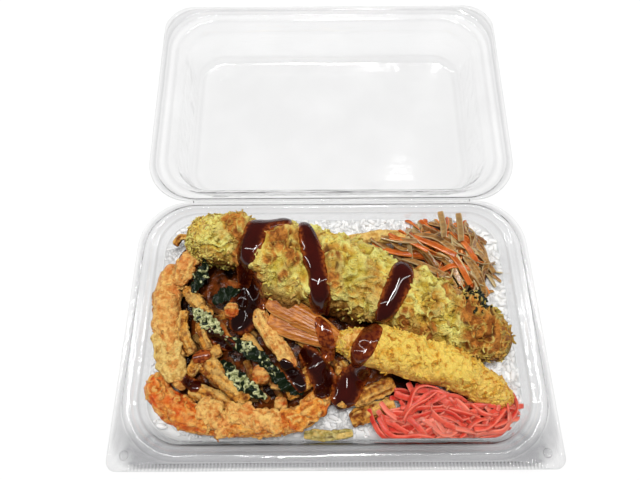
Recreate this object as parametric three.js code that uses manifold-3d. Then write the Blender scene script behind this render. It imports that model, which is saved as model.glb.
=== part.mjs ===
// A takeaway bento: battered fish cake, prawn and vegetables on rice, in a clear hinged pack.
// Millimetres, +Z up. The origin is the middle of the tray's underside, and +Y runs back to the hinge.
import * as THREE from "three";
import { mergeVertices } from "three/addons/utils/BufferGeometryUtils.js";
import Module from "manifold-3d";

const wasm = await Module();
wasm.setup();

// Driving dimensions of the pack
const PACK_WIDTH = 200;
const PACK_DEPTH = 130;
const RIM_HEIGHT = 32;
const WALL = 0.5;
const HINGE_GAP = 0.35;
const LID_GAP = 0.3;
const PLATE_GAP = 0.35;
const LID_TILT = THREE.MathUtils.degToRad(4.3);
const CORNER_STEPS = 6;
const BUTTON = { x: 92.5, y: -58.5, radius: 2, height: 0.9 };

// Driving dimensions of the food
const CLEARANCE = 0.35;
const RICE_TOP = 26.4;
const RICE_BUMP = 0.7;
const FOOD_FLOOR = 27.6;
const ROOM_TOP = 100;

// The tray's upper surface from the flange's edge inward: inset from the side and front edges, inset
// from the back edge, height from the rim, radius of the front corners and of the back corners.
const TRAY_LINE = [
  [0, 0, 0, 5, 25],
  [3, 2, 0, 27, 25],
  [3.8, 2.6, 2.2, 27, 25],
  [7.6, 5.2, 2.2, 24, 22],
  [8.4, 5.8, 0.6, 23, 21],
  [10.6, 7, 0.2, 21, 20],
  [12.5, 8.5, -8, 19, 18],
  [14.5, 10, -9, 17, 16],
  [20, 15, 1.5 - RIM_HEIGHT, 12, 11],
  [21.5, 16.5, WALL - RIM_HEIGHT, 10, 10],
];

// The lid's inner surface as it lies open, told in the same way: its back is the edge by the hinge.
const LID_LINE = [
  [0, 0, 0, 17, 24],
  [3, 1.8, 0, 26, 24.5],
  [3.4, 2.1, -2.6, 26, 24.5],
  [8, 5.9, -2.6, 24, 22.5],
  [12, 10.5, -9, 20, 20],
  [15.5, 14.5, -27, 17, 17],
  [18, 17.5, -29.8, 15, 15],
  [25, 25, -31, 9, 9],
];

// ---- Closed bodies ----

function facesOf(geometry) {
  const corners = geometry.index.array;
  const faces = [];
  for (let i = 0; i < corners.length; i += 3) {
    const [a, b, c] = corners.slice(i, i + 3);
    if (a !== b && b !== c && c !== a) {
      faces.push(a, b, c);
    }
  }
  return faces;
}

function solid(geometry) {
  geometry.deleteAttribute("normal");
  geometry.deleteAttribute("uv");
  const merged = mergeVertices(geometry, 1e-4);
  return new wasm.Manifold(new wasm.Mesh({
    numProp: 3,
    vertProperties: merged.attributes.position.array,
    triVerts: new Uint32Array(facesOf(merged)),
  }));
}

function largest(body) {
  const pieces = body.decompose();
  return pieces.reduce((best, piece) => (piece.volume() > best.volume() ? piece : best));
}

function meshOf(name, body, material) {
  const { vertProperties, triVerts } = body.simplify(0.01).getMesh();
  const geometry = new THREE.BufferGeometry();
  geometry.setAttribute("position", new THREE.BufferAttribute(vertProperties, 3));
  geometry.setIndex(new THREE.BufferAttribute(triVerts, 1));
  geometry.computeVertexNormals();
  const mesh = new THREE.Mesh(geometry, material);
  mesh.name = name;
  return mesh;
}

// A lathed body whose vertices are then moved to place(column, row).
function revolved(rows, around, place) {
  const outline = [];
  for (let row = 0; row < rows; row += 1) {
    const onAxis = row === 0 || row === rows - 1;
    outline.push(new THREE.Vector2(onAxis ? 0 : 1, rows - row));
  }
  const lathe = new THREE.LatheGeometry(outline, around);
  const position = lathe.attributes.position;
  for (let i = 0; i < position.count; i += 1) {
    position.setXYZ(i, ...place(Math.floor(i / rows) % around, i % rows));
  }
  return solid(lathe);
}

// ---- The pressed sheet of the tray and the lid ----

const LEVEL = new THREE.Vector2(1, 0);

// A line moved sideways by a distance; its corner radii follow, so that the sheet keeps its thickness.
function offsetLine(line, distance) {
  const directions = line.slice(1).map(([u, , z], i) => {
    return new THREE.Vector2(u - line[i][0], z - line[i][2]).normalize();
  });
  return line.map(([u, uBack, z, front, back], i) => {
    const before = directions[i - 1] ?? LEVEL;
    const after = directions[i] ?? LEVEL;
    const normal = new THREE.Vector2(-before.y - after.y, before.x + after.x);
    const reach = distance * 2 / normal.lengthSq();
    const inward = normal.x * reach;
    return [u + inward, uBack + inward, z + normal.y * reach, front - inward, back - inward];
  });
}

// A line told from the rim, brought to its height over the table.
const raised = (line) => line.map(([u, uBack, z, ...radii]) => [u, uBack, z + RIM_HEIGHT, ...radii]);

// A rounded rectangle's outline, clockwise from the back: four arcs joined by straight edges, which
// may have points between. It is inset by u from the pack's plan, and by uBack at the back.
function ring([u, uBack, z, front, back], longSteps, shortSteps) {
  const xBack = PACK_WIDTH / 2 - u - back;
  const yBack = PACK_DEPTH / 2 - uBack - back;
  const xFront = PACK_WIDTH / 2 - u - front;
  const yFront = front + u - PACK_DEPTH / 2;
  const corners = [
    [xBack, yBack, back],
    [xFront, yFront, front],
    [-xFront, yFront, front],
    [-xBack, yBack, back],
  ];
  const arcs = corners.map(([x, y, radius], corner) => {
    return Array.from({ length: CORNER_STEPS + 1 }, (_, step) => {
      const turn = Math.PI / 2 * (1 - corner - step / CORNER_STEPS);
      return new THREE.Vector3(x + radius * Math.cos(turn), y + radius * Math.sin(turn), z);
    });
  });
  return arcs.flatMap((arc, corner) => {
    const next = arcs[(corner + 1) % arcs.length][0];
    const steps = corner % 2 === 0 ? shortSteps : longSteps;
    const between = Array.from({ length: steps - 1 }, (_, k) => {
      return arc.at(-1).clone().lerp(next, (k + 1) / steps);
    });
    return [...arc, ...between];
  });
}

// A closed body from such rings, shut at both ends on the middle axis.
function ringBody(lines, longSteps = 1, shortSteps = 1, lift = () => 0) {
  const rings = lines.map((line) => ring(line, longSteps, shortSteps));
  const middles = [lines[0], lines.at(-1)].map((line) => [0, 0, line[2]]);
  return revolved(rings.length + 2, rings[0].length, (column, row) => {
    if (row === 0 || row > rings.length) {
      return middles[row === 0 ? 0 : 1];
    }
    const { x, y, z } = rings[row - 1][column];
    return [x, y, z + lift(column, row - 1)];
  });
}

// Thin plastic sheet below a line of its upper surface.
function pressedSheet(line) {
  return ringBody([...line].reverse().concat(offsetLine(line, -WALL)));
}

// A low dome on a short round stem; with a negative height it hangs down from its stem.
function dome(x, y, z, radius, height) {
  const profile = [[0, height], [0.6, height * 0.85], [1, 0], [1, -height], [0, -height]];
  const around = 12;
  return revolved(profile.length, around, (column, row) => {
    const turn = -Math.sign(height) * column / around * 2 * Math.PI;
    const [out, rise] = profile[row];
    return [x + radius * out * Math.cos(turn), y + radius * out * Math.sin(turn), z + rise];
  });
}

function trayBody() {
  let body = pressedSheet(raised(TRAY_LINE));
  for (const side of [-1, 1]) {
    const button = dome(side * BUTTON.x, BUTTON.y, RIM_HEIGHT, BUTTON.radius, BUTTON.height);
    body = body.add(button.intersect(blockAbove(RIM_HEIGHT - WALL / 2)));
  }
  return body;
}

// A wide block from a level up, to keep or to cut what lies above that level.
function blockAbove(level) {
  const box = new THREE.BoxGeometry(2 * PACK_WIDTH, 6 * PACK_DEPTH, ROOM_TOP - level);
  box.translate(0, 0, (ROOM_TOP + level) / 2);
  return solid(box);
}

// The lid lies open on its back, about its own middle, with its rim plane at z = 0.
function lidBody() {
  let body = pressedSheet(LID_LINE);
  for (const side of [-1, 1]) {
    const shell = dome(side * BUTTON.x, BUTTON.y, -WALL * 0.8, BUTTON.radius + 1, -BUTTON.height - 0.6);
    const hollow = dome(side * BUTTON.x, BUTTON.y, -WALL * 0.4, BUTTON.radius + 0.4, -BUTTON.height - 0.2);
    body = body.add(shell.subtract(blockAbove(-WALL / 2))).subtract(hollow);
  }
  return body;
}

// ---- Forms of food ----

// Evenly spread shares between 0 and 1, a different run of them for each kind.
const PLASTIC_RATIO = 1.324718;
const share = (i, kind) => (0.5 + (i + 1) / PLASTIC_RATIO ** kind) % 1;

const points = (list) => list.map(([x, y, z]) => new THREE.Vector3(x, y, z));

// Unevenness of battered food: crossed waves that close round the section, between -1 and 1.
function uneven(t, turn, seed) {
  const broad = Math.sin(17 * t + turn + seed);
  const middle = Math.sin(29 * t - 2 * turn + 2.1 * seed);
  const fine = Math.sin(43 * t + 3 * turn + 3.7 * seed);
  return 0.5 * broad + 0.3 * middle + 0.2 * fine;
}

// A point on a rounded form drawn out along a path. The section is an upright ellipse and the ends are
// blunt. turn 0 is the form's right-hand side along the path, and a quarter turn is its top.
function formPoint(form, t, turn, grow = 0) {
  const { curve, halfWidth, halfHeight, blunt = 3, lump = 0.07, seed = 1 } = form;
  const tangent = curve.getTangent(t);
  const side = new THREE.Vector3(tangent.y, -tangent.x, 0).normalize();
  const up = new THREE.Vector3().crossVectors(side, tangent);
  const swell = (1 - Math.abs(2 * t - 1) ** blunt) ** (1 / blunt);
  const shape = swell * (1 + lump * uneven(t, turn, seed));
  const ending = swell ** 0.3 * grow;
  const point = curve.getPoint(t).addScaledVector(tangent, grow * (2 * t - 1));
  point.addScaledVector(side, (halfWidth(t) * shape + ending) * Math.cos(turn));
  point.addScaledVector(up, (halfHeight(t) * shape + ending) * Math.sin(turn));
  point.z = Math.max(point.z, FOOD_FLOOR - grow);
  return point;
}

function formBody(form, around, along, grow) {
  const sphere = new THREE.SphereGeometry(1, around, along);
  const position = sphere.attributes.position;
  for (let i = 0; i < position.count; i += 1) {
    const t = (1 - Math.cos(Math.floor(i / (around + 1)) / along * Math.PI)) / 2;
    const turn = (i % (around + 1) % around) / around * 2 * Math.PI;
    position.setXYZ(i, ...formPoint(form, t, turn, grow));
  }
  return solid(sphere);
}

const even = (size) => () => size;

function roundForm(path, halfWidth, halfHeight, more = {}) {
  return { curve: new THREE.CatmullRomCurve3(points(path)), halfWidth, halfHeight, ...more };
}

// A strand that lies on another form: its stops are shares of that form's length and turns in degrees.
function strandOn(host, stops, width, height) {
  const onHost = ([t, turn]) => formPoint(host, t, THREE.MathUtils.degToRad(turn));
  const curve = new THREE.CatmullRomCurve3(stops.map(onHost));
  return { curve, halfWidth: even(width), halfHeight: even(height), lump: 0, blunt: 4 };
}

// A cut strip of vegetable along a path, as wide as width and as thick as height.
function strip(path, width, height, grow) {
  const steps = 3;
  const stops = points(path);
  const first = stops[0].clone().sub(stops[1]).setLength(grow);
  const last = stops.at(-1).clone().sub(stops.at(-2)).setLength(grow);
  stops[0].add(first);
  stops.at(-1).add(last);
  const halfWidth = width / 2 + grow;
  const halfHeight = height / 2 + grow;
  const section = new THREE.Shape();
  section.moveTo(-halfHeight, -halfWidth);
  section.lineTo(halfHeight, -halfWidth);
  section.lineTo(halfHeight, halfWidth);
  section.lineTo(-halfHeight, halfWidth);
  const extrudePath = new THREE.CatmullRomCurve3(stops);
  return solid(new THREE.ExtrudeGeometry(section, { steps, extrudePath, bevelEnabled: false }));
}

// Height of a heap's core over its floor, from its middle (out = 0) to its edge (out = 1).
const moundHeight = (out, height) => height * Math.cos(Math.PI / 2 * out) ** 0.7;

// A heap's core: a low dome over an uneven outline.
function moundBody({ outline, middle, height }, grow) {
  const around = 16;
  const outs = [0, 0.3, 0.6, 0.85, 1, 0];
  const edge = new THREE.CatmullRomCurve3(points(outline.map(([x, y]) => [x, y, 0])), true);
  const centre = new THREE.Vector3(...middle, 0);
  return revolved(outs.length, around, (column, row) => {
    const rim = edge.getPoint(column / around).sub(centre);
    const reach = outs[row] * (1 + grow / rim.length());
    const rise = row === outs.length - 1 ? 0 : moundHeight(outs[row], height);
    const skin = row < outs.length - 2 ? grow : -grow;
    return [centre.x + rim.x * reach, centre.y + rim.y * reach, FOOD_FLOOR + rise + skin];
  });
}

// Strips strewn evenly over a mound, each lying over the dome at its own heading.
function strewn(mound, count, { length, width, height, heading, spread }, grow) {
  const { outline, middle, height: rise } = mound;
  const edge = new THREE.CatmullRomCurve3(points(outline.map(([x, y]) => [x, y, 0])), true);
  const strips = [];
  for (let i = 0; i < count; i += 1) {
    const out = 0.86 * Math.sqrt((i + 0.5) / count);
    const rim = edge.getPoint(share(i, 1));
    const direction = heading + spread * (2 * share(i, 2) - 1);
    const reach = length * (0.8 + 0.4 * share(i, 3)) / 2;
    const path = [-1, 0, 1].map((end) => {
      const x = THREE.MathUtils.lerp(middle[0], rim.x, out) + end * reach * Math.cos(direction);
      const y = THREE.MathUtils.lerp(middle[1], rim.y, out) + end * reach * Math.sin(direction);
      return [x, y, FOOD_FLOOR + moundHeight(out, rise) + height * (end === 0 ? 0.4 : -0.1)];
    });
    strips.push(strip(path, width, height, grow));
  }
  return strips;
}

// A thin wavy leaf along a path: two alike grids joined by a rim.
function leafBody({ path, width, wave }, grow) {
  const columns = 6;
  const rows = 2;
  const plane = new THREE.PlaneGeometry(1, 1, columns, rows);
  const curve = new THREE.CatmullRomCurve3(points(path));
  const count = plane.attributes.position.count;
  const thickness = 1 + 2 * grow;
  const spots = [];
  for (const level of [0.5, -0.5]) {
    for (let i = 0; i < count; i += 1) {
      const t = (i % (columns + 1)) / columns;
      const across = Math.floor(i / (columns + 1)) / rows - 0.5;
      const tangent = curve.getTangent(t);
      const side = new THREE.Vector3(tangent.y, -tangent.x, 0).normalize();
      const breadth = width * (0.35 + 0.65 * Math.sin(Math.PI * t)) + 2 * grow;
      const point = curve.getPoint(t).addScaledVector(tangent, 2 * grow * (t - 0.5));
      point.addScaledVector(side, breadth * across);
      point.z += thickness * level + wave * Math.sin(9 * t + 4 * across);
      spots.push(...point);
    }
  }
  const upper = Array.from(plane.index.array);
  const lower = upper.map((corner) => corner + count).reverse();
  const geometry = new THREE.BufferGeometry();
  geometry.setAttribute("position", new THREE.Float32BufferAttribute(spots, 3));
  geometry.setIndex([...upper, ...lower, ...rimFaces(columns, rows, count)]);
  return solid(geometry);
}

// The faces that join the border of a grid to the border of its copy, count vertices later.
function rimFaces(columns, rows, count) {
  const border = [];
  const last = rows * (columns + 1);
  for (let i = 0; i < columns; i += 1) {
    border.push(i);
  }
  for (let j = 0; j < rows; j += 1) {
    border.push(columns + j * (columns + 1));
  }
  for (let i = columns; i > 0; i -= 1) {
    border.push(last + i);
  }
  for (let j = rows; j > 0; j -= 1) {
    border.push(j * (columns + 1));
  }
  return border.flatMap((here, k) => {
    const next = border[(k + 1) % border.length];
    return [here, next, here + count, next, next + count, here + count];
  });
}

// ---- The food ----

const FISH_CAKE = roundForm(
  [[-71, 47.5, 44], [-38, 33, 45], [-8, 22, 44.5], [31, 9.5, 41], [56, 0.5, 38.5], [83, -9, 36.5]],
  (t) => 16.5 + 4 * Math.sin(Math.PI * Math.min(1.15 * t, 1)) ** 2,
  (t) => 15 - 3.5 * t,
  { seed: 2, lump: 0.12 },
);

const PRAWN = roundForm(
  [[0, -11, 44], [22.5, -15.7, 44], [49, -22.4, 41], [79, -37.5, 35]],
  (t) => 6 + 3.2 * THREE.MathUtils.smoothstep(t, 0, 0.3) - 1.5 * t * t,
  (t) => 5.8 + 2.7 * THREE.MathUtils.smoothstep(t, 0, 0.3) - t * t,
  { seed: 5, lump: 0.08 },
);

const PRAWN_TAIL = roundForm(
  [[-1, -10, 44], [-12, -4.5, 44.5], [-32, 5, 45.5]],
  (t) => 4 + 4.5 * t,
  (t) => 4.2 - 1.6 * t,
  { seed: 3, lump: 0.04, blunt: 5 },
);

const STICK = roundForm(
  [[-33, -2, 40], [-27, -11.5, 42], [-18.5, -22.5, 41]],
  even(3.6),
  even(3.4),
  { seed: 4 },
);

const FRONT_ARC = roundForm(
  [[-83, -25, 35], [-77, -36, 35], [-62, -43, 35], [-40, -47, 35], [-18, -45, 36], [-3, -32, 38]],
  (t) => 6.2 + 0.8 * Math.sin(7 * t),
  (t) => 6 + 0.5 * Math.sin(9 * t + 1),
  { seed: 6, lump: 0.12, blunt: 4 },
);

const SIDE_COLUMN = roundForm(
  [[-80, 27, 35], [-82, 12, 35.5], [-79, -6, 36], [-74, -20, 35], [-69, -31, 34]],
  (t) => 6.4 + 0.8 * Math.sin(5 * t),
  even(7),
  { seed: 7, lump: 0.12, blunt: 4 },
);

const FRITTER_MOUND = {
  outline: [
    [-78, 38], [-58, 46], [-20, 30], [4, 12], [24, -4], [31, -16], [27, -33], [6, -37],
    [-18, -40], [-45, -42], [-72, -32], [-80, 2],
  ],
  middle: [-28, -4],
  height: 9.5,
};

const ROOT_MOUND = {
  outline: [[6, 38], [34, 47], [58, 54], [74, 50], [83, 36], [83, 20], [70, 6], [46, 6], [24, 18]],
  middle: [56, 32],
  height: 10,
};

const GINGER_MOUND = {
  outline: [
    [20, -50], [27, -38], [44, -29], [62, -30], [79, -35], [79, -43], [70, -49], [56, -51], [38, -52],
  ],
  middle: [50, -41],
  height: 7.5,
};

// Battered sticks of vegetable that show in the fritter, from end to end, then their widths
const FRITTER_STICKS = [
  [[[-66, 37, 40], [-71.5, 26.5, 40.5], [-74.5, 16, 38]], 6],
  [[[-61, 30, 40], [-66, 19, 40], [-69, 9, 38]], 5],
  [[[-71, 15, 38], [-65, 8, 40], [-58, 1, 39]], 5],
  [[[-70, 3, 38.5], [-70, -6, 39.5], [-64, -16, 37.5]], 5.5],
  [[[-61.5, -1, 38.5], [-60, -7.5, 39.5], [-58, -14, 38]], 5],
  [[[-66, -25, 37], [-60, -18, 39], [-54, -15, 38.5]], 6],
  [[[-62, -21, 37.5], [-50, -29.5, 39], [-38, -37.5, 37]], 7],
  [[[-65, -33.5, 35.5], [-54, -37, 37], [-43, -40, 36]], 5],
  [[[-41, -7.5, 38.5], [-36, -14, 39.5], [-31, -20.5, 38]], 5],
  [[[-2, -16, 38.5], [-9, -22.5, 39.5], [-17, -29, 37.5]], 5],
  [[[-6, -26, 38], [-13, -30, 38.5], [-21, -34.5, 36.5]], 5],
  [[[-20, -4, 38], [-12, -12, 39], [-7, -19, 38]], 5],
  [[[-46, 16, 38], [-38, 8, 39.5], [-34, 2, 38]], 5],
  [[[2, -20, 37], [6, -29, 37.5], [2, -39, 35]], 6],
];

// Round lumps of batter in the fritter: middle, then radius
const FRITTER_LUMPS = [
  [[-47.5, 3, 41.5], 3.6],
  [[-33, -25.5, 39], 4.2],
  [[-24, -38, 37], 3],
];

// Loose battered sticks: name, path, width and height
const LOOSE_STICKS = [
  ["front_stick_upper", [[27, -29, 34], [17, -33, 35], [8, -37, 34]], 7, 5],
  ["front_stick_lower", [[27, -38, 32], [17, -41, 32.5], [7, -45, 32]], 7, 5],
  ["back_stick", [[4, 38.5, 36], [20, 41.5, 38], [37, 41.5, 38]], 6.5, 5],
  ["onion_strip", [[-14, -50.5, 29.3], [-3, -51, 29.3], [8, -50, 29.3]], 4, 2.4],
  ["back_crumb_strip", [[-80, 39, 34.5], [-77.5, 43, 35], [-72, 43, 35]], 3.4, 3],
];

const LEAVES = [
  { path: [[-61, 27, 42], [-63.5, 20, 42.5], [-67, 12, 41]], width: 8, wave: 0.7 },
  { path: [[-57, 7, 41.5], [-51, 11, 42.5], [-44, 13, 42]], width: 8, wave: 0.5 },
  { path: [[-66, 4, 41], [-59, -1.5, 42], [-51, -8, 41]], width: 8, wave: 0.6 },
  { path: [[-50, -9, 41], [-38, -15.5, 42], [-25, -25, 41]], width: 8, wave: 0.8 },
  { path: [[-51, -19, 40.5], [-41, -29, 41.5], [-30, -36, 40]], width: 9, wave: 0.8 },
  { path: [[-30, -23, 40], [-22, -29, 41], [-14, -34, 39.5]], width: 9, wave: 0.7 },
];

function ball(spot, radius) {
  const sphere = new THREE.SphereGeometry(radius, 7, 5);
  sphere.translate(...spot);
  return solid(sphere);
}

// Small lumps of batter spread over the upper side of a form.
function crags(host, count, size, grow) {
  const lumps = [];
  for (let i = 0; i < count; i += 1) {
    const t = 0.04 + 0.92 * (i + 0.5) / count;
    const turn = Math.PI * (0.02 + 0.96 * share(i, 1));
    lumps.push(ball(formPoint(host, t, turn), size * (0.7 + 0.6 * share(i, 2)) + grow));
  }
  return lumps;
}

function fishCake(grow) {
  const strands = [
    strandOn(FISH_CAKE, [[0.262, 150], [0.25, 110], [0.24, 75], [0.232, 35], [0.225, -8]], 3.4, 3),
    strandOn(FISH_CAKE, [[0.315, 155], [0.345, 115], [0.39, 75], [0.425, 35], [0.455, -8]], 3.2, 3),
    strandOn(FISH_CAKE, [[0.65, 110], [0.645, 80], [0.637, 35], [0.63, -5]], 3.6, 3),
  ];
  return wasm.Manifold.union([
    formBody(FISH_CAKE, 14, 24, grow),
    ...strands.map((strand) => formBody(strand, 6, 8, grow)),
    ...crags(FISH_CAKE, 14, 3.2, grow),
  ]);
}

function prawn(grow) {
  const strands = [
    strandOn(PRAWN, [[0.1, 170], [0.09, 110], [0.08, 50], [0.08, 0]], 3, 2.2),
    strandOn(PRAWN, [[0.3, 175], [0.285, 110], [0.26, 50], [0.24, 0]], 3.2, 2.2),
  ];
  return wasm.Manifold.union([
    formBody(PRAWN, 12, 18, grow),
    ...strands.map((strand) => formBody(strand, 6, 6, grow)),
  ]);
}

function fritter(grow) {
  return wasm.Manifold.union([
    moundBody(FRITTER_MOUND, grow),
    ...FRITTER_STICKS.map(([path, width]) => strip(path, width, 4, grow)),
    ...FRITTER_LUMPS.map(([spot, radius]) => ball(spot, radius + grow)),
  ]);
}

function rootVegetables(grow) {
  const cut = { length: 26, width: 3.2, height: 2.8, heading: -0.7, spread: 1 };
  return wasm.Manifold.union([moundBody(ROOT_MOUND, grow), ...strewn(ROOT_MOUND, 26, cut, grow)]);
}

function pickledGinger(grow) {
  const cut = { length: 20, width: 2.6, height: 2.4, heading: 0.1, spread: 1.2 };
  return wasm.Manifold.union([moundBody(GINGER_MOUND, grow), ...strewn(GINGER_MOUND, 24, cut, grow)]);
}

// The rice fills the tray; its top is uneven by about a grain, most at the edge, where it shows.
function riceBody() {
  const [ledge, low, floorEdge] = raised(offsetLine(TRAY_LINE, CLEARANCE)).slice(-3);
  const full = (RICE_TOP - ledge[2]) / (low[2] - ledge[2]);
  const shore = ledge.map((value, k) => THREE.MathUtils.lerp(value, low[k], full));
  const tops = [30, 14, 8.5, 4].map((step) => {
    const [u, uBack, z, front, back] = shore;
    return [u + step, uBack + step, z, Math.max(front - step, 2), Math.max(back - step, 2)];
  });
  const bump = (column, row) => (row < tops.length ? RICE_BUMP * Math.sin(2.3 * column + 4.1 * row) : 0);
  return ringBody([...tops, shore, low, floorEdge], 22, 12, bump);
}

// All the space over the tray's surface, a clearance away from it.
function roomInTray() {
  const skin = raised(offsetLine(TRAY_LINE, CLEARANCE));
  const [u, uBack, , ...radii] = TRAY_LINE[0];
  return ringBody([[u, uBack, ROOM_TOP, ...radii], ...skin]);
}

// ---- The pack with its meal ----

const finish = (color, roughness) => new THREE.MeshStandardMaterial({ color, roughness, metalness: 0 });
const clearPlastic = new THREE.MeshStandardMaterial({
  color: 0xf2f5f6,
  roughness: 0.08,
  metalness: 0,
  transparent: true,
  opacity: 0.35,
});

const meal = new THREE.Group();
meal.add(meshOf("tray", trayBody(), clearPlastic));
meal.add(meshOf("rice_bed", riceBody(), finish(0xf1eee6, 0.6)));

// Each piece is laid clear of the tray and of all pieces laid before it.
const room = roomInTray();
const laid = [];

function lay(name, shape, material) {
  const body = laid.reduce((rest, skin) => rest.subtract(skin), shape(0).intersect(room));
  laid.push(shape(CLEARANCE));
  meal.add(meshOf(name, largest(body), material));
}

const goldenBatter = finish(0xd98c3c, 0.55);
const leafGreen = finish(0x25341f, 0.35);

lay("fish_cake_tempura", fishCake, finish(0xbfa85a, 0.6));
lay("prawn_tempura", prawn, finish(0xe6bd55, 0.6));
lay("prawn_tail", (grow) => formBody(PRAWN_TAIL, 10, 8, grow), finish(0xc8743a, 0.4));
lay("fritter_stick", (grow) => formBody(STICK, 8, 8, grow), goldenBatter);
lay("fritter_front_arc", (grow) => formBody(FRONT_ARC, 10, 22, grow), finish(0xe08a3a, 0.5));
lay("fritter_side_column", (grow) => formBody(SIDE_COLUMN, 10, 16, grow), finish(0xdf9d55, 0.5));
LEAVES.forEach((leaf, i) => lay(`leaf_${i + 1}`, (grow) => leafBody(leaf, grow), leafGreen));
for (const [name, path, width, height] of LOOSE_STICKS) {
  lay(name, (grow) => strip(path, width, height, grow), goldenBatter);
}
lay("pickled_ginger", pickledGinger, finish(0xdc5f60, 0.35));
lay("burdock_and_carrot", rootVegetables, finish(0xb9793f, 0.4));
lay("vegetable_fritter", fritter, finish(0xc47a34, 0.45));

const lid = meshOf("lid", lidBody(), clearPlastic);
lid.rotation.z = Math.PI;
lid.position.set(0, LID_GAP + PACK_DEPTH / 2, -PLATE_GAP);
const lidHinge = new THREE.Group();
lidHinge.position.set(0, PACK_DEPTH / 2 + HINGE_GAP, RIM_HEIGHT);
lidHinge.rotation.x = LID_TILT;
lidHinge.add(lid);
meal.add(lidHinge);

export default meal;
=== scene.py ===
"""A takeaway bento in its open clear pack: a battered fish cake, a prawn and a vegetable fritter on rice,
with pickled ginger, braised roots and thick sauce.

Lengths are millimetres until piece() writes metres. The origin is the middle of the tray's underside, +Y
runs back to the hinge and the open lid, and +Z is up.
"""

import bpy
import numpy as np
from mathutils import Matrix, Vector


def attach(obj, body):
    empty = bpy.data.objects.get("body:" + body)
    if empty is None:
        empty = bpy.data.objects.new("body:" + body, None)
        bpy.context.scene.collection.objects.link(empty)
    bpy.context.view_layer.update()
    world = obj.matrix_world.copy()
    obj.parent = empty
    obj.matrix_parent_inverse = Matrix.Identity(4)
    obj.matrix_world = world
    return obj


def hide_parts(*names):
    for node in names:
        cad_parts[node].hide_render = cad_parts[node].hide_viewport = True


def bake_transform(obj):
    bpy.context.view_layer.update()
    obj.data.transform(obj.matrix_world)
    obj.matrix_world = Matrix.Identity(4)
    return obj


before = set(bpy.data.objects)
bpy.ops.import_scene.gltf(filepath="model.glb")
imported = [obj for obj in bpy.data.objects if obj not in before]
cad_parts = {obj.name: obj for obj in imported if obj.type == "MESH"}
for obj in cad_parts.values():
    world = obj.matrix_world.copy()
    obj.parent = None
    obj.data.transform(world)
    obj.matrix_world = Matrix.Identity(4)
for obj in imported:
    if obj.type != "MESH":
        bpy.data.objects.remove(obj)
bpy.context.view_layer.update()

MM = 0.001

# Driving dimensions of the pack, as the frame has them
PACK_WIDTH = 200
PACK_DEPTH = 130
RIM_HEIGHT = 32
WALL = 0.5
HINGE_GAP = 0.35
LID_GAP = 0.3
PLATE_GAP = 0.35
LID_TILT = np.radians(4.3)
BUTTON_X, BUTTON_Y, BUTTON_RADIUS, BUTTON_HEIGHT = 92.5, -58.5, 2, 0.35

# The band of fine ribs along the tray's front flange: how far it runs to either side, and its inner edge
RIBS_HALF, RIBS_BACK = 90, -62

# Driving dimensions of the food: where it starts, the height that the shut lid leaves it, and the grains'
# size, their number at the wall and on top, and where those on top lie: height, and reach in from the wall
RICE_TOP = 26.4
FOOD_FLOOR = 27.6
FOOD_CEILING = 62.7
GRAIN_LENGTH = 5.4
GRAIN_WIDTH = 2.7
GRAINS_AT_WALL = 1900
GRAINS_ON_TOP = 3200
GRAINS_TOP_HEIGHT = 25.6
GRAINS_TOP_REACH = 22

# The tray's upper surface from the flange's edge inward: inset from the side and front edges, inset from
# the back edge, height from the rim, radius of the front corners and of the back corners.
TRAY_LINE = np.array([
    [0, 0, 0, 5, 25],
    [3, 2, 0, 27, 25],
    [3.8, 2.6, 2.2, 27, 25],
    [7.6, 5.2, 2.2, 24, 22],
    [8.4, 5.8, 0.6, 23, 21],
    [10.6, 7, 0.2, 21, 20],
    [12.5, 8.5, -8, 19, 18],
    [14.5, 10, -9, 17, 16],
    [20, 15, 1.5 - RIM_HEIGHT, 12, 11],
    [21.5, 16.5, WALL - RIM_HEIGHT, 10, 10],
    [45, 40, WALL - RIM_HEIGHT, 6, 6],
])
TRAY_WALL_ROWS = slice(6, 10)

# The lid's inner surface as it lies open, told in the same way: its back is the edge by the hinge.
LID_LINE = np.array([
    [0, 0, 0, 17, 24],
    [3, 1.8, 0, 26, 24.5],
    [3.4, 2.1, -2.6, 26, 24.5],
    [8, 5.9, -2.6, 24, 22.5],
    [12, 10.5, -9, 20, 20],
    [15.5, 14.5, -27, 17, 17],
    [18, 17.5, -29.8, 15, 15],
    [25, 25, -31, 9, 9],
    [45, 45, -31, 6, 6],
])
LID_CAVITY_ROWS = slice(2, None)


# ---- Camera, light and floor ----

# The camera's place, its lens, how many degrees it looks down, and how many it leans to the side
CAMERA_PLACE = (-6.285, -51.85, 261.24)
CAMERA_LENS = 27
CAMERA_DOWN = 67.6
CAMERA_LEAN = -0.342

# The long ceiling lamps: name, place and size in metres, power in watts
LAMPS = [
    ["left_ceiling_lamp", (-0.67, 0.2, 1.2), 0.035, 1.8, 7.2],
    ["middle_ceiling_lamp", (0.03, 0.1, 1.7), 0.04, 0.84, 15],
    ["right_ceiling_lamp", (0.8, 0.3, 1.3), 0.035, 1.8, 6.3],
]
LAMPS_AIM = Vector((0, 0.05, 0.03))


def camera():
    """A camera held over the front of the tray that looks steeply down and back over the meal."""
    data = bpy.data.cameras.new("camera")
    data.sensor_width = 36
    data.lens = CAMERA_LENS
    data.clip_start = 0.01
    holder = bpy.data.objects.new("camera", data)
    tilt = Matrix.Rotation(np.radians(90 - CAMERA_DOWN), 4, "X")
    roll = Matrix.Rotation(np.radians(CAMERA_LEAN), 4, "Z")
    holder.matrix_world = Matrix.Translation([part * MM for part in CAMERA_PLACE]) @ tilt @ roll
    bpy.context.scene.collection.objects.link(holder)
    bpy.context.scene.camera = holder


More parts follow.
